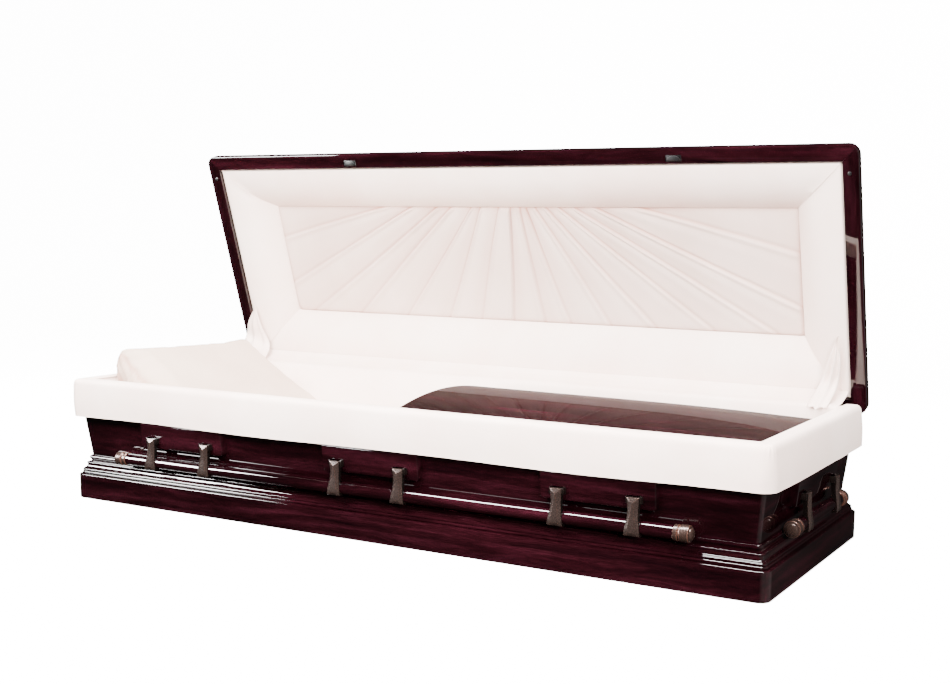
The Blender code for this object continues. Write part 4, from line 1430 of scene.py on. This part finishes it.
    def paint_tuck_shade(self, piece: bpy.types.Object, scale: Vector, half_width: float) -> None:
        """Store the painted shade of each vertex of the panel: darker in its tucks, with a painted shadow of
        the roll along its edges.

        Args:
            piece: the panel.
            scale: size of the panel over the pleats' own measure, along x and across.
            half_width: half the panel's width.
        """
        layer = piece.data.attributes.new("fold", "FLOAT", "POINT")
        back = self.sizes.lid_turn.inverted()
        for vert in piece.data.vertices:
            shut = back @ vert.co
            place = Vector((shut.x / scale.x, (shut.y + half_width) / scale.y))
            rim = min(self.rays[-1][0] - abs(place.x), place.y, self.panel_reach - place.y)
            # Painted shadow of the roll along the panel's edges.
            shadow = 0.45 * math.exp(-max(0.0, rim) / 0.007)
            layer.data[vert.index].value = min(1.0, self.tuck(place)[1] + shadow)

    def rim_point(self, run: float) -> Vector:
        """Place that lies a distance along the panel's head side, its back side and then its foot side."""
        half, depth = self.rays[-1][0], self.panel_reach
        if run <= depth:
            return Vector((-half, run))
        if run <= depth + 2 * half:
            return Vector((run - depth - half, depth))
        return Vector((half, max(0.0, 2 * depth + 2 * half - run)))

    def sunburst(self) -> None:
        """Build the pleated panel as a fan of cloth whose folds spread from its front edge."""
        half_length = self.sizes.lid_half_length - self.sizes.panel_inset - GAP
        half_width = self.sizes.lid_half_width - self.sizes.panel_inset - GAP
        # Columns lie close together at each pleat and far apart between two.
        spread = (0.0, 0.012, 0.026, 0.044, 0.066, 0.095, 0.13, 0.18, 0.25, 0.34, 0.44, 0.56, 0.66, 0.75,
                  0.82, 0.87, 0.905, 0.934, 0.956, 0.974, 0.988)
        columns = [(index, share) for index in range(len(self.rays) - 1) for share in spread]
        columns.append((len(self.rays) - 2, 1.0))
        depth = self.sizes.rim_z + self.sizes.panel_depth
        scale = Vector((half_length / self.rays[-1][0], 2 * half_width / self.panel_reach))
        stations = []
        for index, share in columns:
            (x, run), (next_x, next_run) = self.rays[index], self.rays[index + 1]
            start = Vector((x + (next_x - x) * share, 0.0))
            end = self.rim_point(run + (next_run - run) * share)
            station = []
            for step in range(57):
                fade = step / 56
                place = start.lerp(end, fade)
                x_at, y_at = place.x * scale.x, place.y * scale.y - half_width
                rim = min(half_length - abs(x_at), half_width - abs(y_at))
                held = min(1.0, max(0.0, rim / 0.010))
                puff = 0.0012 + 0.0016 * ripple(Vector((x_at, y_at, 0)), 6.0, 5.0)
                lift = held * (self.tuck(place)[0] + puff)
                station.append(Vector((x_at, y_at, depth - lift)))
            stations.append(station)
        work = sweep(stations, ring=False)
        bmesh.ops.remove_doubles(work, verts=work.verts, dist=1e-5)
        face_way(work, (0, 0, 1))
        bmesh.ops.solidify(work, geom=work.faces, thickness=-0.0055)
        piece = make_piece("sunburst", open_lid(work), SHADED_PANEL_CREPE, "lid", smooth=180,
                           replaces=["sunburst_panel"])
        self.paint_tuck_shade(piece, scale, half_width)

    def build(self) -> None:
        """Build the lining."""
        self.roll()
        self.piping()
        self.sunburst()


# Soft goods of the shell.


@dataclass
class ShellLining:
    """The padded lining of the shell's walls and the bed on its floor."""

    sizes: Sizes = SIZES
    lining: float = 0.0125
    shelf_z: float = 0.300
    shelf_depth: float = 0.018
    swell: float = 0.008
    bed_top: float = 0.205

    def walls(self) -> None:
        """Build the lining ring with soft gathers along it."""
        low = self.bed_top - 0.012
        wall, ease = self.sizes.wall, EASE + GAP
        inset_at = self.sizes.shell_inset_at
        shelf_outer = inset_at(self.shelf_z) + wall + self.lining
        shelf_inner = shelf_outer + self.shelf_depth
        top = self.sizes.shell_top_z
        face = [(wall + ease, top - GAP), (wall + self.lining - 0.004, top - GAP),
                (wall + self.lining, top - 0.004)]
        for step in range(1, 7):
            z = top - 0.004 - (top - 0.004 - self.shelf_z) * step / 6
            face.append((inset_at(z) + wall + self.lining + 0.0006 * math.sin(math.pi * step / 6), z))
        face += [(shelf_outer + 0.008, self.shelf_z), (shelf_inner - 0.003, self.shelf_z - 0.0004),
                 (shelf_inner, self.shelf_z - 0.003)]
        for step in range(1, 8):
            rate = step / 7
            z = self.shelf_z - 0.003 - (self.shelf_z - 0.003 - self.bed_top) * rate
            face.append((shelf_inner + self.swell * rate ** 0.6 - 0.002, z))
        face.append((inset_at(self.bed_top) + wall + ease, self.bed_top + GAP))
        stations: list[list[Vector]] = []
        for along_x, along_y, _, _ in round_ring(150, 50):
            station = []
            for number, (inset, height) in enumerate(face):
                pad = 0.0
                if 11 < number < len(face) - 1:
                    where = Vector((along_x, along_y, 0))
                    pad = -0.0015 - 0.0022 * ripple(where, 9.0, 8.0) - 0.001 * ripple(where, 31.0, 3.0)
                station.append(Vector((along_x * (self.sizes.top_half_length - inset - pad),
                                       along_y * (self.sizes.top_half_width - inset - pad), height)))
            stations.append(station)
        stations.append([point.copy() for point in stations[0]])
        piece = make_piece("wall_padding", sweep(stations, closed=True), CREPE, "shell", smooth=50,
                           replaces=["shell_lining"])

    def bed(self) -> None:
        """Build the mattress: a quilted block of ticking with rounded edges."""
        reach = self.sizes.shell_inset_at(self.sizes.floor_z) + self.sizes.wall + 0.002
        half = (self.sizes.top_half_length - reach, self.sizes.top_half_width - reach)
        low = (-half[0], -half[1], self.sizes.floor_z + GAP)
        work = box(low, (half[0], half[1], self.bed_top - 0.001))
        soften(work, 0.022, segments=5)
        long_edges = [edge for edge in work.edges if edge.calc_length() > 0.3]
        bmesh.ops.subdivide_edges(work, edges=long_edges, cuts=40, use_grid_fill=True)
        for vert in work.verts:
            if vert.co.z > self.bed_top - 0.004:
                inside = min(half[0] - abs(vert.co.x), half[1] - abs(vert.co.y))
                vert.co.z += min(1.0, inside / 0.08) * (0.0005 + 0.0009 * ripple(vert.co, 7.0, 4.0)) - 0.0006
        piece = make_piece("bed", work, TICKING, "shell", smooth=60, replaces=["mattress"])

    def build(self) -> None:
        """Build the lining and the bed."""
        self.walls()
        self.bed()


@dataclass
class Overlay:
    """The padded cloth that folds over the front and both ends of the shell's rim."""

    sizes: Sizes = SIZES
    cloth: float = 0.0035
    hem_z: float = 0.2455
    hem_out: float = 0.0135
    back_end: float = 0.352
    inner_inset: float = 0.0345

    def build(self) -> None:
        """Build the cloth as one sheet with its thickness."""
        top = self.sizes.shell_top_z + EASE + GAP + self.cloth
        line = [(self.inner_inset, top - 0.0034), (self.inner_inset - 0.0006, top - 0.0012),
                (self.inner_inset - 0.003, top), (0.016, top + 0.0006), (0.004, top + 0.0002),
                (0.0, top - 0.0006), (-0.0035, top - 0.0026), (-0.0062, top - 0.0058),
                (-0.0085, top - 0.0105)]
        steps = 14
        for step in range(1, steps + 1):
            rate = step / steps
            z = top - 0.0105 + (self.hem_z - top + 0.0105) * rate
            belly = 0.0048 * math.sin(math.pi * min(1.0, rate * 1.05)) ** 0.8
            line.append((-0.0085 - (self.hem_out - 0.0085) * rate - belly * 0.55, z))
        stations = []
        for place, normal, run in self.path():
            station = []
            for inset, height in line:
                hang = min(1.0, max(0.0, (top - height) / (top - self.hem_z)))
                slow = ripple(Vector((run, height * 2, 0)), 4.0, 1.0)
                wave = hang * (0.0022 * math.sin(run * 11.0) + 0.0030 * slow)
                wave += hang * 0.0010 * ripple(Vector((run, height, 0)), 26.0, 6.0)
                tuck = math.sin(run * 330.0) * math.exp(-((height - top + 0.012) / 0.016) ** 2)
                wave += self.corner_share(run) * 0.0016 * tuck
                radius = max(0.004, self.sizes.wall_corner + self.sizes.shell_inset_at(height) - inset)
                point = self.corner_point(place, normal, inset - wave * 0.8, radius)
                sag = 0.0018 * math.sin(run * 7.0 + 1.0) * hang
                station.append(Vector((point[0], point[1], height + sag)))
            stations.append(station)
        work = sweep(stations, ring=False)
        bmesh.ops.recalc_face_normals(work, faces=work.faces)
        mid = min(work.faces, key=lambda face: face.calc_center_median().y)
        if mid.normal.y > 0:
            bmesh.ops.reverse_faces(work, faces=work.faces)
        bmesh.ops.solidify(work, geom=work.faces, thickness=0.0026)
        piece = make_piece("rim_cloth", work, CREPE, "shell", smooth=70, replaces=["overlay_cloth"])

    def corner_share(self, run: float) -> float:
        """How near a place along the cloth is to one of its two corners, from 0 to 1."""
        first = self.back_end + self.sizes.top_half_width
        second = first + 2 * self.sizes.top_half_length
        near = min(abs(run - first), abs(run - second))
        return math.exp(-(near / 0.035) ** 2)

    def path(self) -> list[tuple[tuple[float, float, int], float, float]]:
        """Places along the rim from the head's back end round to the foot's.

        Returns:
            For each place its corner key (x sign, y or x, which run), its turn, and its run in metres.
        """
        places = []
        length, width = self.sizes.top_half_length, self.sizes.top_half_width
        corner = 0.034
        count = 44
        for step in range(count):
            y = self.back_end - (self.back_end + width - corner) * step / count
            places.append(((-1.0, y, 0), 180.0, self.back_end - y))
        for step in range(15):
            places.append(((-1.0, 0.0, 1), 180.0 + 90.0 * step / 14,
                           self.back_end + width - corner * (1 - step / 7)))
        for step in range(1, 150):
            x = (-length + corner) + 2 * (length - corner) * step / 150
            places.append(((0.0, x, 2), 270.0, self.back_end + width + x + length))
        for step in range(15):
            places.append(((1.0, 0.0, 1), 270.0 + 90.0 * step / 14,
                           self.back_end + width + 2 * length - corner * (1 - step / 7)))
        for step in range(1, count + 1):
            y = (-width + corner) + (self.back_end + width - corner) * step / count
            places.append(((1.0, y, 0), 360.0, self.back_end + 2 * width + 2 * length + y))
        return places

    def corner_point(self, place: tuple[float, float, int], turn: float, inset: float,
                     radius: float) -> tuple[float, float]:
        """Plan position of a point of the cloth.

        Args:
            place: the corner key from path().
            turn: direction out of the casket in degrees.
            inset: inset from the shell's top edge.
            radius: corner radius at this height.

        Returns:
            x and y.
        """
        length, width = self.sizes.top_half_length, self.sizes.top_half_width
        sign, value, run = place
        if run == 0:
            return sign * (length - inset), value
        if run == 2:
            return value, -(width - inset)
        angle = math.radians(turn)
        x = sign * (length - inset - radius) + radius * math.cos(angle)
        y = -(width - inset - radius) + radius * math.sin(angle)
        return x, y


@dataclass
class Apron:
    """The cloth that falls from the lid's lining over the shell's back rim into the casket."""

    sizes: Sizes = SIZES
    half_length: float = 1.012

    def build(self) -> None:
        """Build the sheet as a piece that rides on no moving body."""
        seam = self.sizes.lid_turn @ Vector((0.0, self.sizes.lid_half_width - 0.064,
                                             self.sizes.rim_z + 0.0058))
        rim_y, rim_z = self.sizes.top_half_width, self.sizes.shell_top_z
        key = [(seam.y, seam.z), (seam.y - 0.018, seam.z - 0.0115), (0.5 * (seam.y + rim_y), rim_z + 0.0125),
               (rim_y + 0.004, rim_z + 0.0050), (rim_y - 0.010, rim_z + 0.0032),
               (rim_y - 0.024, rim_z + 0.0022), (rim_y - 0.036, rim_z - 0.004)]
        foot_line = smooth_line(key + [(rim_y - 0.0405, rim_z - 0.016), (rim_y - 0.0425, rim_z - 0.028),
                                       (rim_y - 0.0435, rim_z - 0.036), (rim_y - 0.0440, rim_z - 0.044)], 4)
        head_line = smooth_line(key + [(rim_y - 0.047, rim_z - 0.022), (rim_y - 0.060, rim_z - 0.052),
                                       (rim_y - 0.069, rim_z - 0.092), (rim_y - 0.074, rim_z - 0.138)], 4)
        stations = []
        count = 170
        for step in range(count + 1):
            share = 2 * step / count - 1
            x = share * self.half_length
            turn = min(1.0, max(0.0, (0.0 - x) / 0.05))
            turn = turn * turn * (3 - 2 * turn)
            station = []
            for number, (first, second) in enumerate(zip(foot_line, head_line)):
                y = first[0] + (second[0] - first[0]) * turn
                z = first[1] + (second[1] - first[1]) * turn
                loose = max(0.0, math.sin(math.pi * min(1.0, number / (len(foot_line) * 0.55))))
                slow = ripple(Vector((x, y * 3, 0)), 5.0, 9.0)
                wave = loose * (0.0022 * slow + 0.0012 * math.sin(x * 9.0))
                station.append(Vector((x, y, z + wave)))
            stations.append(station)
        work = sweep(stations, ring=False)
        face_way(work, (0, 0, 1))
        bmesh.ops.solidify(work, geom=work.faces, thickness=0.0012)
        piece = make_piece("apron", work, CREPE, None, smooth=70)
        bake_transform(piece)


def smooth_line(key: Sequence[tuple[float, float]], cuts: int) -> list[tuple[float, float]]:
    """Round a row of points with a Catmull-Rom curve.

    Args:
        key: the points it passes through.
        cuts: pieces between each two points.

    Returns:
        The finer row.
    """
    row = [Vector(point) for point in key]
    points = [tuple(spline_at(row, index, step / cuts))
              for index in range(len(key) - 1) for step in range(cuts)]
    return points + [tuple(key[-1])]


def spline_at(row: Sequence[Vector], index: int, rate: float) -> Vector:
    """A point on the Catmull-Rom curve through a row of points.

    Args:
        row: the points it passes through.
        index: the point before the place.
        rate: share of the way from that point to the next.

    Returns:
        The point.
    """
    before, first = row[max(index - 1, 0)], row[index]
    second, after = row[index + 1], row[min(index + 2, len(row) - 1)]
    bend = (2 * before - 5 * first + 4 * second - after) * rate * rate
    twist = (3 * first - before - 3 * second + after) * rate ** 3
    return 0.5 * ((2 * first) + (second - before) * rate + bend + twist)


@dataclass
class Gusset:
    """The gathered web of cloth between the lid's lining and the shell's at one end of the hinge line."""

    x_sign: int
    sizes: Sizes = SIZES

    def build(self) -> None:
        """Build the folded web as a piece that rides on no moving body."""
        turn, side, rim = self.sizes.lid_turn, self.x_sign, self.sizes.rim_z
        apex = turn @ Vector((side * 0.991, 0.145, rim - 0.003))
        top = self.sizes.shell_top_z
        # The outer and the inner edge, each as two places on the shut lid and one on the shell's rim.
        if side < 0:
            edges = (((1.030, 0.196), (1.054, 0.252), (1.048, 0.318)),
                     ((0.978, 0.212), (0.957, 0.280), (0.925, 0.322)))
        else:
            edges = (((1.000, 0.215), (0.990, 0.280), (0.985, 0.318)),
                     ((0.966, 0.206), (0.942, 0.274), (0.930, 0.322)))
        outer, inner = ([apex, turn @ Vector((side * first[0], first[1], rim - 0.010)),
                         turn @ Vector((side * second[0], second[1], rim - 0.013)),
                         Vector((side * last[0], last[1], top - 0.004))] for first, second, last in edges)
        rows, folds = 30, 30
        stations = []
        for row in range(rows + 1):
            rate = row / rows
            first, second = self.along(outer, rate), self.along(inner, rate)
            station = []
            for number in range(folds + 1):
                across = number / folds
                point = first.lerp(second, across)
                depth = 0.012 * rate * math.sin(math.pi * across)
                pleat = math.sin(across * 15.0 + 0.8) * math.sin(math.pi * across) ** 0.5
                depth += (0.0015 + 0.0075 * rate) * pleat
                station.append(point + Vector((0.0, -depth, -0.25 * depth)))
            stations.append(station)
        work = sweep(stations, ring=False)
        bmesh.ops.remove_doubles(work, verts=work.verts, dist=1e-5)
        face_way(work, (0, -1, 0))
        bmesh.ops.solidify(work, geom=work.faces, thickness=0.0011)
        name = "gusset_{}".format("head" if side < 0 else "foot")
        piece = make_piece(name, work, CREPE, None, smooth=180)
        # The head's web is wider, as it also hides the corner of the lid's rim.
        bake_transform(piece)

    def along(self, points: Sequence[Vector], rate: float) -> Vector:
        """Point at a share of the way along a smooth row of points."""
        place = min(rate * (len(points) - 1), len(points) - 1.0001)
        return spline_at(points, int(place), place - int(place))


@dataclass
class Pillow:
    """The wedge pillow against the head end, filled and sewn with a gathered gusset at each end."""

    sizes: Sizes = SIZES
    front: float = -0.252
    back: float = 0.322
    crest: float = 0.443
    foot_z: float = 0.2075
    voxel: float = 0.0140

    def profile(self) -> list[tuple[float, float]]:
        """Outline of the wedge seen from the front, as (x, z)."""
        wall_face = -self.sizes.top_half_length + self.sizes.shell_inset_at(0.300) + self.sizes.wall
        above = wall_face + 0.0125 + 0.004
        head, foot = above + 0.028, self.foot_z
        return [(head, foot), (head, 0.290), (head + 0.001, 0.306), (above, 0.330), (above, 0.380),
                (above + 0.003, 0.415), (above + 0.009, self.crest - 0.010),
                (above + 0.020, self.crest - 0.001), (above + 0.032, self.crest - 0.003), (-0.940, 0.412),
                (-0.870, 0.3655), (-0.800, 0.319), (-0.730, 0.2725), (-0.680, 0.241), (-0.645, 0.221),
                (-0.632, 0.2080), (-0.750, foot), (-0.880, foot)]

    def build(self) -> None:
        """Build the pillow, fill it by cloth simulation and gather its ends."""
        profile = self.profile()
        centre = Vector((-0.86, 0.27))
        stations = []
        count = 24
        for step in range(count + 1):
            rate = step / count
            y = self.front + (self.back - self.front) * rate
            near = min(rate, 1 - rate) * (self.back - self.front)
            shrink = 1 - 0.035 * max(0.0, 1 - near / 0.020) ** 2
            droop = 0.012 * rate
            station = []
            for x, z in profile:
                lift = max(0.0, z - self.foot_z)
                station.append(Vector((centre.x + (x - centre.x) * shrink, y,
                                       self.foot_z + lift * shrink - droop * min(1.0, lift / 0.2))))
            stations.append(station)
        piece = make_piece("wedge_pillow", sweep(stations), SHADED_PILLOW_CREPE, "shell", smooth=180,
                           replaces=["pillow"])
        plump(piece, voxel=self.voxel, pressure=3.0, cap=0.016, floor=0.2068)
        self.gather(piece)
        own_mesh(piece)

    def gather(self, piece: bpy.types.Object) -> None:
        """Draw the seams in, gather the cloth of both end gussets, and paint shade into the seams and the
        gathers' hollows.

        Args:
            piece: the filled pillow.
        """
        layer = piece.data.attributes.new("fold", "FLOAT", "POINT")
        low_y = min(vert.co.y for vert in piece.data.vertices)
        high_y = max(vert.co.y for vert in piece.data.vertices)
        for vert in piece.data.vertices:
            co, normal = vert.co, vert.normal
            if co.z < 0.215:
                continue
            inward = 1.0 if co.y < 0.5 * (low_y + high_y) else -1.0
            from_end = min(co.y - low_y, high_y - co.y)
            seam = math.exp(-((from_end - 0.016) / 0.0035) ** 2)
            end = max(0.0, min(1.0, (0.020 - from_end) / 0.008))
            turn = math.atan2(co.z - 0.25, co.x + 0.90)
            gathers = math.sin(turn * 42.0 + 3.0 * ripple(co, 9.0, 2.0))
            vert.co -= normal * (0.0024 * seam)
            vert.co.y += inward * end * 0.0030 * (gathers - 0.6)
            slack = 0.0028 * ripple(co, 7.0, 6.0) + 0.0012 * ripple(co, 19.0, 1.0)
            vert.co += normal * slack * (1 - end)
            # Painted shade along the seams and in the hollows of the gathers.
            layer.data[vert.index].value = min(1.0, 0.55 * seam + 0.30 * end * max(0.0, -gathers))


def plump(piece: bpy.types.Object, voxel: float, pressure: float, cap: float, floor: float,
          frames: int = 10) -> None:
    """Fill a cushion by cloth simulation.

    Args:
        piece: the cushion, a closed mesh.
        voxel: size of the remeshed faces.
        pressure: air pressure inside.
        cap: how far a point may move.
        floor: height that nothing sinks below.
        frames: steps of the simulation.
    """
    step = piece.modifiers.new("remesh", "REMESH")
    step.mode = "VOXEL"
    step.voxel_size = voxel
    step.use_smooth_shade = True
    apply_modifier(piece, "remesh")
    start = [vert.co.copy() for vert in piece.data.vertices]
    cloth = piece.modifiers.new("fill", "CLOTH")
    stiffness = {"tension_stiffness": 18, "compression_stiffness": 18, "shear_stiffness": 8,
                 "bending_stiffness": 0.35}
    rules = {"quality": 3, "mass": 0.25, "use_pressure": True, "uniform_pressure_force": pressure}
    for name, value in (stiffness | rules).items():
        setattr(cloth.settings, name, value)
    cloth.settings.effector_weights.gravity = 0.0
    cloth.collision_settings.use_collision = False
    cloth.collision_settings.use_self_collision = False
    cloth.point_cache.frame_start = 1
    cloth.point_cache.frame_end = frames
    for frame in range(1, frames + 1):
        bpy.context.scene.frame_set(frame)
    apply_modifier(piece, "fill")
    bpy.context.scene.frame_set(1)
    for vert, origin in zip(piece.data.vertices, start):
        move = vert.co - origin
        if move.length > cap:
            vert.co = origin + move * (cap / move.length)
        vert.co.z = max(vert.co.z, floor)
    smooth = piece.modifiers.new("finer", "SUBSURF")
    smooth.levels = 1
    smooth.render_levels = 1
    apply_modifier(piece, "finer")


@dataclass
class FootPanel:
    """The domed, mirror-polished panel over the foot half."""

    sizes: Sizes = SIZES
    half_width: float = 0.316
    head_x: float = 0.0
    foot_x: float = 1.005
    crest: float = 0.364
    edge: float = 0.312
    thick: float = 0.010
    corner: float = 0.004
    shelf_z: float = 0.300

    def build(self) -> None:
        """Build the panel with its turned-down edge."""
        work = bmesh.new()
        bmesh.ops.create_grid(work, x_segments=110, y_segments=70, size=1.0)
        rise = self.crest - self.edge
        for vert in work.verts:
            share, across = (vert.co.x + 1) / 2, vert.co.y
            fall = 1 - 0.12 * share - 0.40 * share ** 6
            height = self.edge + rise * fall * (1 - across * across)
            along = self.head_x + share * (self.foot_x - self.head_x)
            vert.co = Vector((along, across * self.half_width, height))
        rim = [edge for edge in work.edges if edge.is_boundary]
        grown = bmesh.ops.extrude_edge_only(work, edges=rim)["geom"]
        for item in grown:
            if isinstance(item, bmesh.types.BMVert):
                item.co.z = self.shelf_z + GAP
        face_way(work, (0, 0, 1))
        limit = math.radians(40)
        sharp = [edge for edge in work.edges if edge.is_manifold and edge.calc_face_angle(0.0) > limit]
        bevel(work, sharp, self.corner, 4)
        bmesh.ops.solidify(work, geom=work.faces, thickness=self.thick)
        make_piece("leg_panel", work, Mahogany(GrainWay.ALONG_X, lacquer=0.09), "shell", smooth=40,
                   replaces=["foot_panel"])


@dataclass
class Hinges:
    """Finish for the hinge leaves and straps, with their screws."""

    sizes: Sizes = SIZES
    places: tuple[float, float] = (-0.62, 0.62)

    def build(self, frame: dict) -> None:
        """Dress the CAD leaves and straps and add screw heads.
        """
        for number, place in enumerate(self.places, start=1):
            for name in ("hinge_leaf_{}".format(number), "hinge_strap_{}".format(number)):
                node = frame["nodes"][name]
                node.data.materials.clear()
                node.data.materials.append(WARDROBE.material(SATIN_STEEL))
            work = bmesh.new()
            turn = Matrix.Rotation(math.radians(90), 4, "X")
            for x in (-0.020, 0.020):
                for drop in (-0.026, 0.022):
                    z = self.sizes.pin.z + drop
                    y = self.sizes.wall_face(Side.BACK, z) + GAP + 0.0030
                    add_screw(work, Matrix.Translation((place + x, y, z)) @ turn, 0.0036, 0.4)
            make_piece("hinge_screws_{}".format(number), work, SATIN_STEEL, "shell")


# Studio.


@dataclass
class Studio:
    """Floor, backdrop, lights and the camera at the photograph's place."""

    eye: tuple[float, float, float] = (1.9396, -3.0713, 0.8420)
    yaw: float = 29.665
    pitch: float = 8.217
    roll: float = 0.426
    focal_px: float = 1312.7
    centre_px: tuple[float, float] = (504.5, 404.1)

    def camera(self) -> None:
        """Place the camera."""
        yaw, pitch, roll = (math.radians(value) for value in (self.yaw, self.pitch, self.roll))
        level_reach = math.cos(pitch)
        forward = Vector((-math.sin(yaw) * level_reach, math.cos(yaw) * level_reach, -math.sin(pitch)))
        level = Vector((math.cos(yaw), math.sin(yaw), 0.0))
        upright = level.cross(forward)
        right = math.cos(roll) * level + math.sin(roll) * upright
        up = -math.sin(roll) * level + math.cos(roll) * upright
        data = bpy.data.cameras.new("camera")
        data.sensor_fit = "HORIZONTAL"
        data.sensor_width = 36.0
        data.lens = 36.0 * self.focal_px / PHOTO_SIZE[0]
        data.shift_x = (PHOTO_SIZE[0] / 2 - self.centre_px[0]) / PHOTO_SIZE[0]
        data.shift_y = (self.centre_px[1] - PHOTO_SIZE[1] / 2) / PHOTO_SIZE[0]
        data.clip_start = 0.05
        data.clip_end = 100.0
        camera = bpy.data.objects.new("camera", data)
        bpy.context.scene.collection.objects.link(camera)
        matrix = Matrix((right, up, -forward)).transposed().to_4x4()
        matrix.translation = Vector(self.eye)
        camera.matrix_world = matrix
        bpy.context.scene.camera = camera

    def light(self, name: str, place: Sequence[float], aim: Sequence[float], size: tuple[float, float],
              power: float, colour: str = "FFFFFF", lit: bool = True, mirrored: bool = True) -> None:
        """Hang one soft box.

        Args:
            name: the light's name.
            place: where it hangs.
            aim: the point it faces.
            size: its width and height.
            power: its power in watts.
            colour: its colour as sRGB hex.
            lit: whether it lights what is matt.
            mirrored: whether the lacquer and the metal mirror it.
        """
        data = bpy.data.lights.new(name, "AREA")
        data.shape = "RECTANGLE"
        data.size, data.size_y = size
        data.energy = power
        data.color = linear(colour)[:3]
        lamp = bpy.data.objects.new(name, data)
        bpy.context.scene.collection.objects.link(lamp)
        lamp.location = place
        lamp.rotation_euler = (Vector(aim) - Vector(place)).to_track_quat("-Z", "Y").to_euler()
        lamp.visible_diffuse = lit
        lamp.visible_glossy = mirrored

    def backdrop(self) -> None:
        """Lay the pale floor and its curved backdrop."""
        back, curve = 4.0, 2.0
        line = [(-9.0, 0.0), (back, 0.0)]
        for angle in (math.radians(degrees) for degrees in range(6, 91, 6)):
            line.append((back + curve * math.sin(angle), curve - curve * math.cos(angle)))
        line += [(back + curve, 9.0)]
        stations = [[Vector((x, y, z - 0.0004)) for y, z in line] for x in (-14.0, 14.0)]
        work = sweep(stations, ring=False)
        bmesh.ops.recalc_face_normals(work, faces=work.faces)
        floor = link_mesh("floor", work)
        floor.data.shade_smooth()
        # The sweep is opal acrylic lit from behind, so that it burns out to plain white.
        material, tree, shader = start_material("studio_paper")
        wire(tree, shader, {"Base Color": linear("F6F6F6"), "Roughness": 0.95, "Specular IOR Level": 0.0,
                            "Emission Color": linear("FFFFFF"), "Emission Strength": 14.0})
        floor.data.materials.append(material)
        # The wood mirrors the dim studio and not the bright sweep, as a polished casket is lit.
        floor.visible_glossy = False
        floor.visible_diffuse = False

    def world(self) -> None:
        """Fill the room with dim light that is brighter at the casket's foot end."""
        world = bpy.data.worlds.new("studio")
        world.use_nodes = True
        bpy.context.scene.world = world
        tree = world.node_tree
        way = add_node(tree, "TexCoord").outputs["Generated"]
        split = add_node(tree, "SeparateXYZ", inputs={"Vector": way})
        share = add_node(tree, "MapRange", {"interpolation_type": "SMOOTHSTEP"},
                         {"Value": split.outputs["X"], "From Min": 0.25, "From Max": 0.9,
                          "To Min": 0.03, "To Max": 0.55})
        tree.links.new(share.outputs[0], tree.nodes["Background"].inputs["Strength"])
        tree.nodes["Background"].inputs["Color"].default_value = linear("FFF8F4")

    def build(self) -> None:
        """Set up the studio."""
        self.camera()
        self.backdrop()
        self.world()
        above, low = Vector((0.0, 0.0, 0.2)), Vector((0.0, 0.0, 0.35))
        # These light the cloth and the wood's own colour, and aren't mirrored.
        self.light("overhead", (0.2, -0.6, 3.6), above, (4.4, 2.6), 820.0, "FFF9F5", mirrored=False)
        self.light("key", (-0.4, -2.3, 2.0), low, (3.0, 0.9), 480.0, "FFF6F0", mirrored=False)
        self.light("front_right", (3.4, -3.0, 1.8), (0.6, 0.0, 0.3), (1.6, 1.6), 620.0, "FFF6F0",
                   mirrored=False)
        # These draw the thin white lines on the beads, and the broad ones at the head end.
        self.light("ceiling", (0.2, -0.9, 3.7), (0.2, -0.3, 0.2), (5.0, 0.75), 2000.0, lit=False)
        self.light("head_panel", (-3.3, -2.6, 1.5), (-0.9, -0.3, 0.1), (1.0, 1.3), 700.0, lit=False)


def main() -> None:
    """Build every piece of the casket and its studio."""
    logging.basicConfig(level=logging.INFO, format="%(name)s: %(message)s")
    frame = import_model()
    Studio().build()
    BaseMoulding().build()
    ShellWalls().build(frame)
    for side in Side:
        arms, bar_end = (LONG_ARMS, LONG_BAR_END) if side.is_long else (END_ARMS, END_BAR_END)
        SwingHandle(side, arms, bar_end).build()
    LidShell().build()
    LidLining().build()
    Hinges().build(frame)
    ShellLining().build()
    Overlay().build()
    FootPanel().build()
    Pillow().build()
    Apron().build()
    Gusset(-1).build()
    Gusset(1).build()


if __name__ == "__main__":
    main()
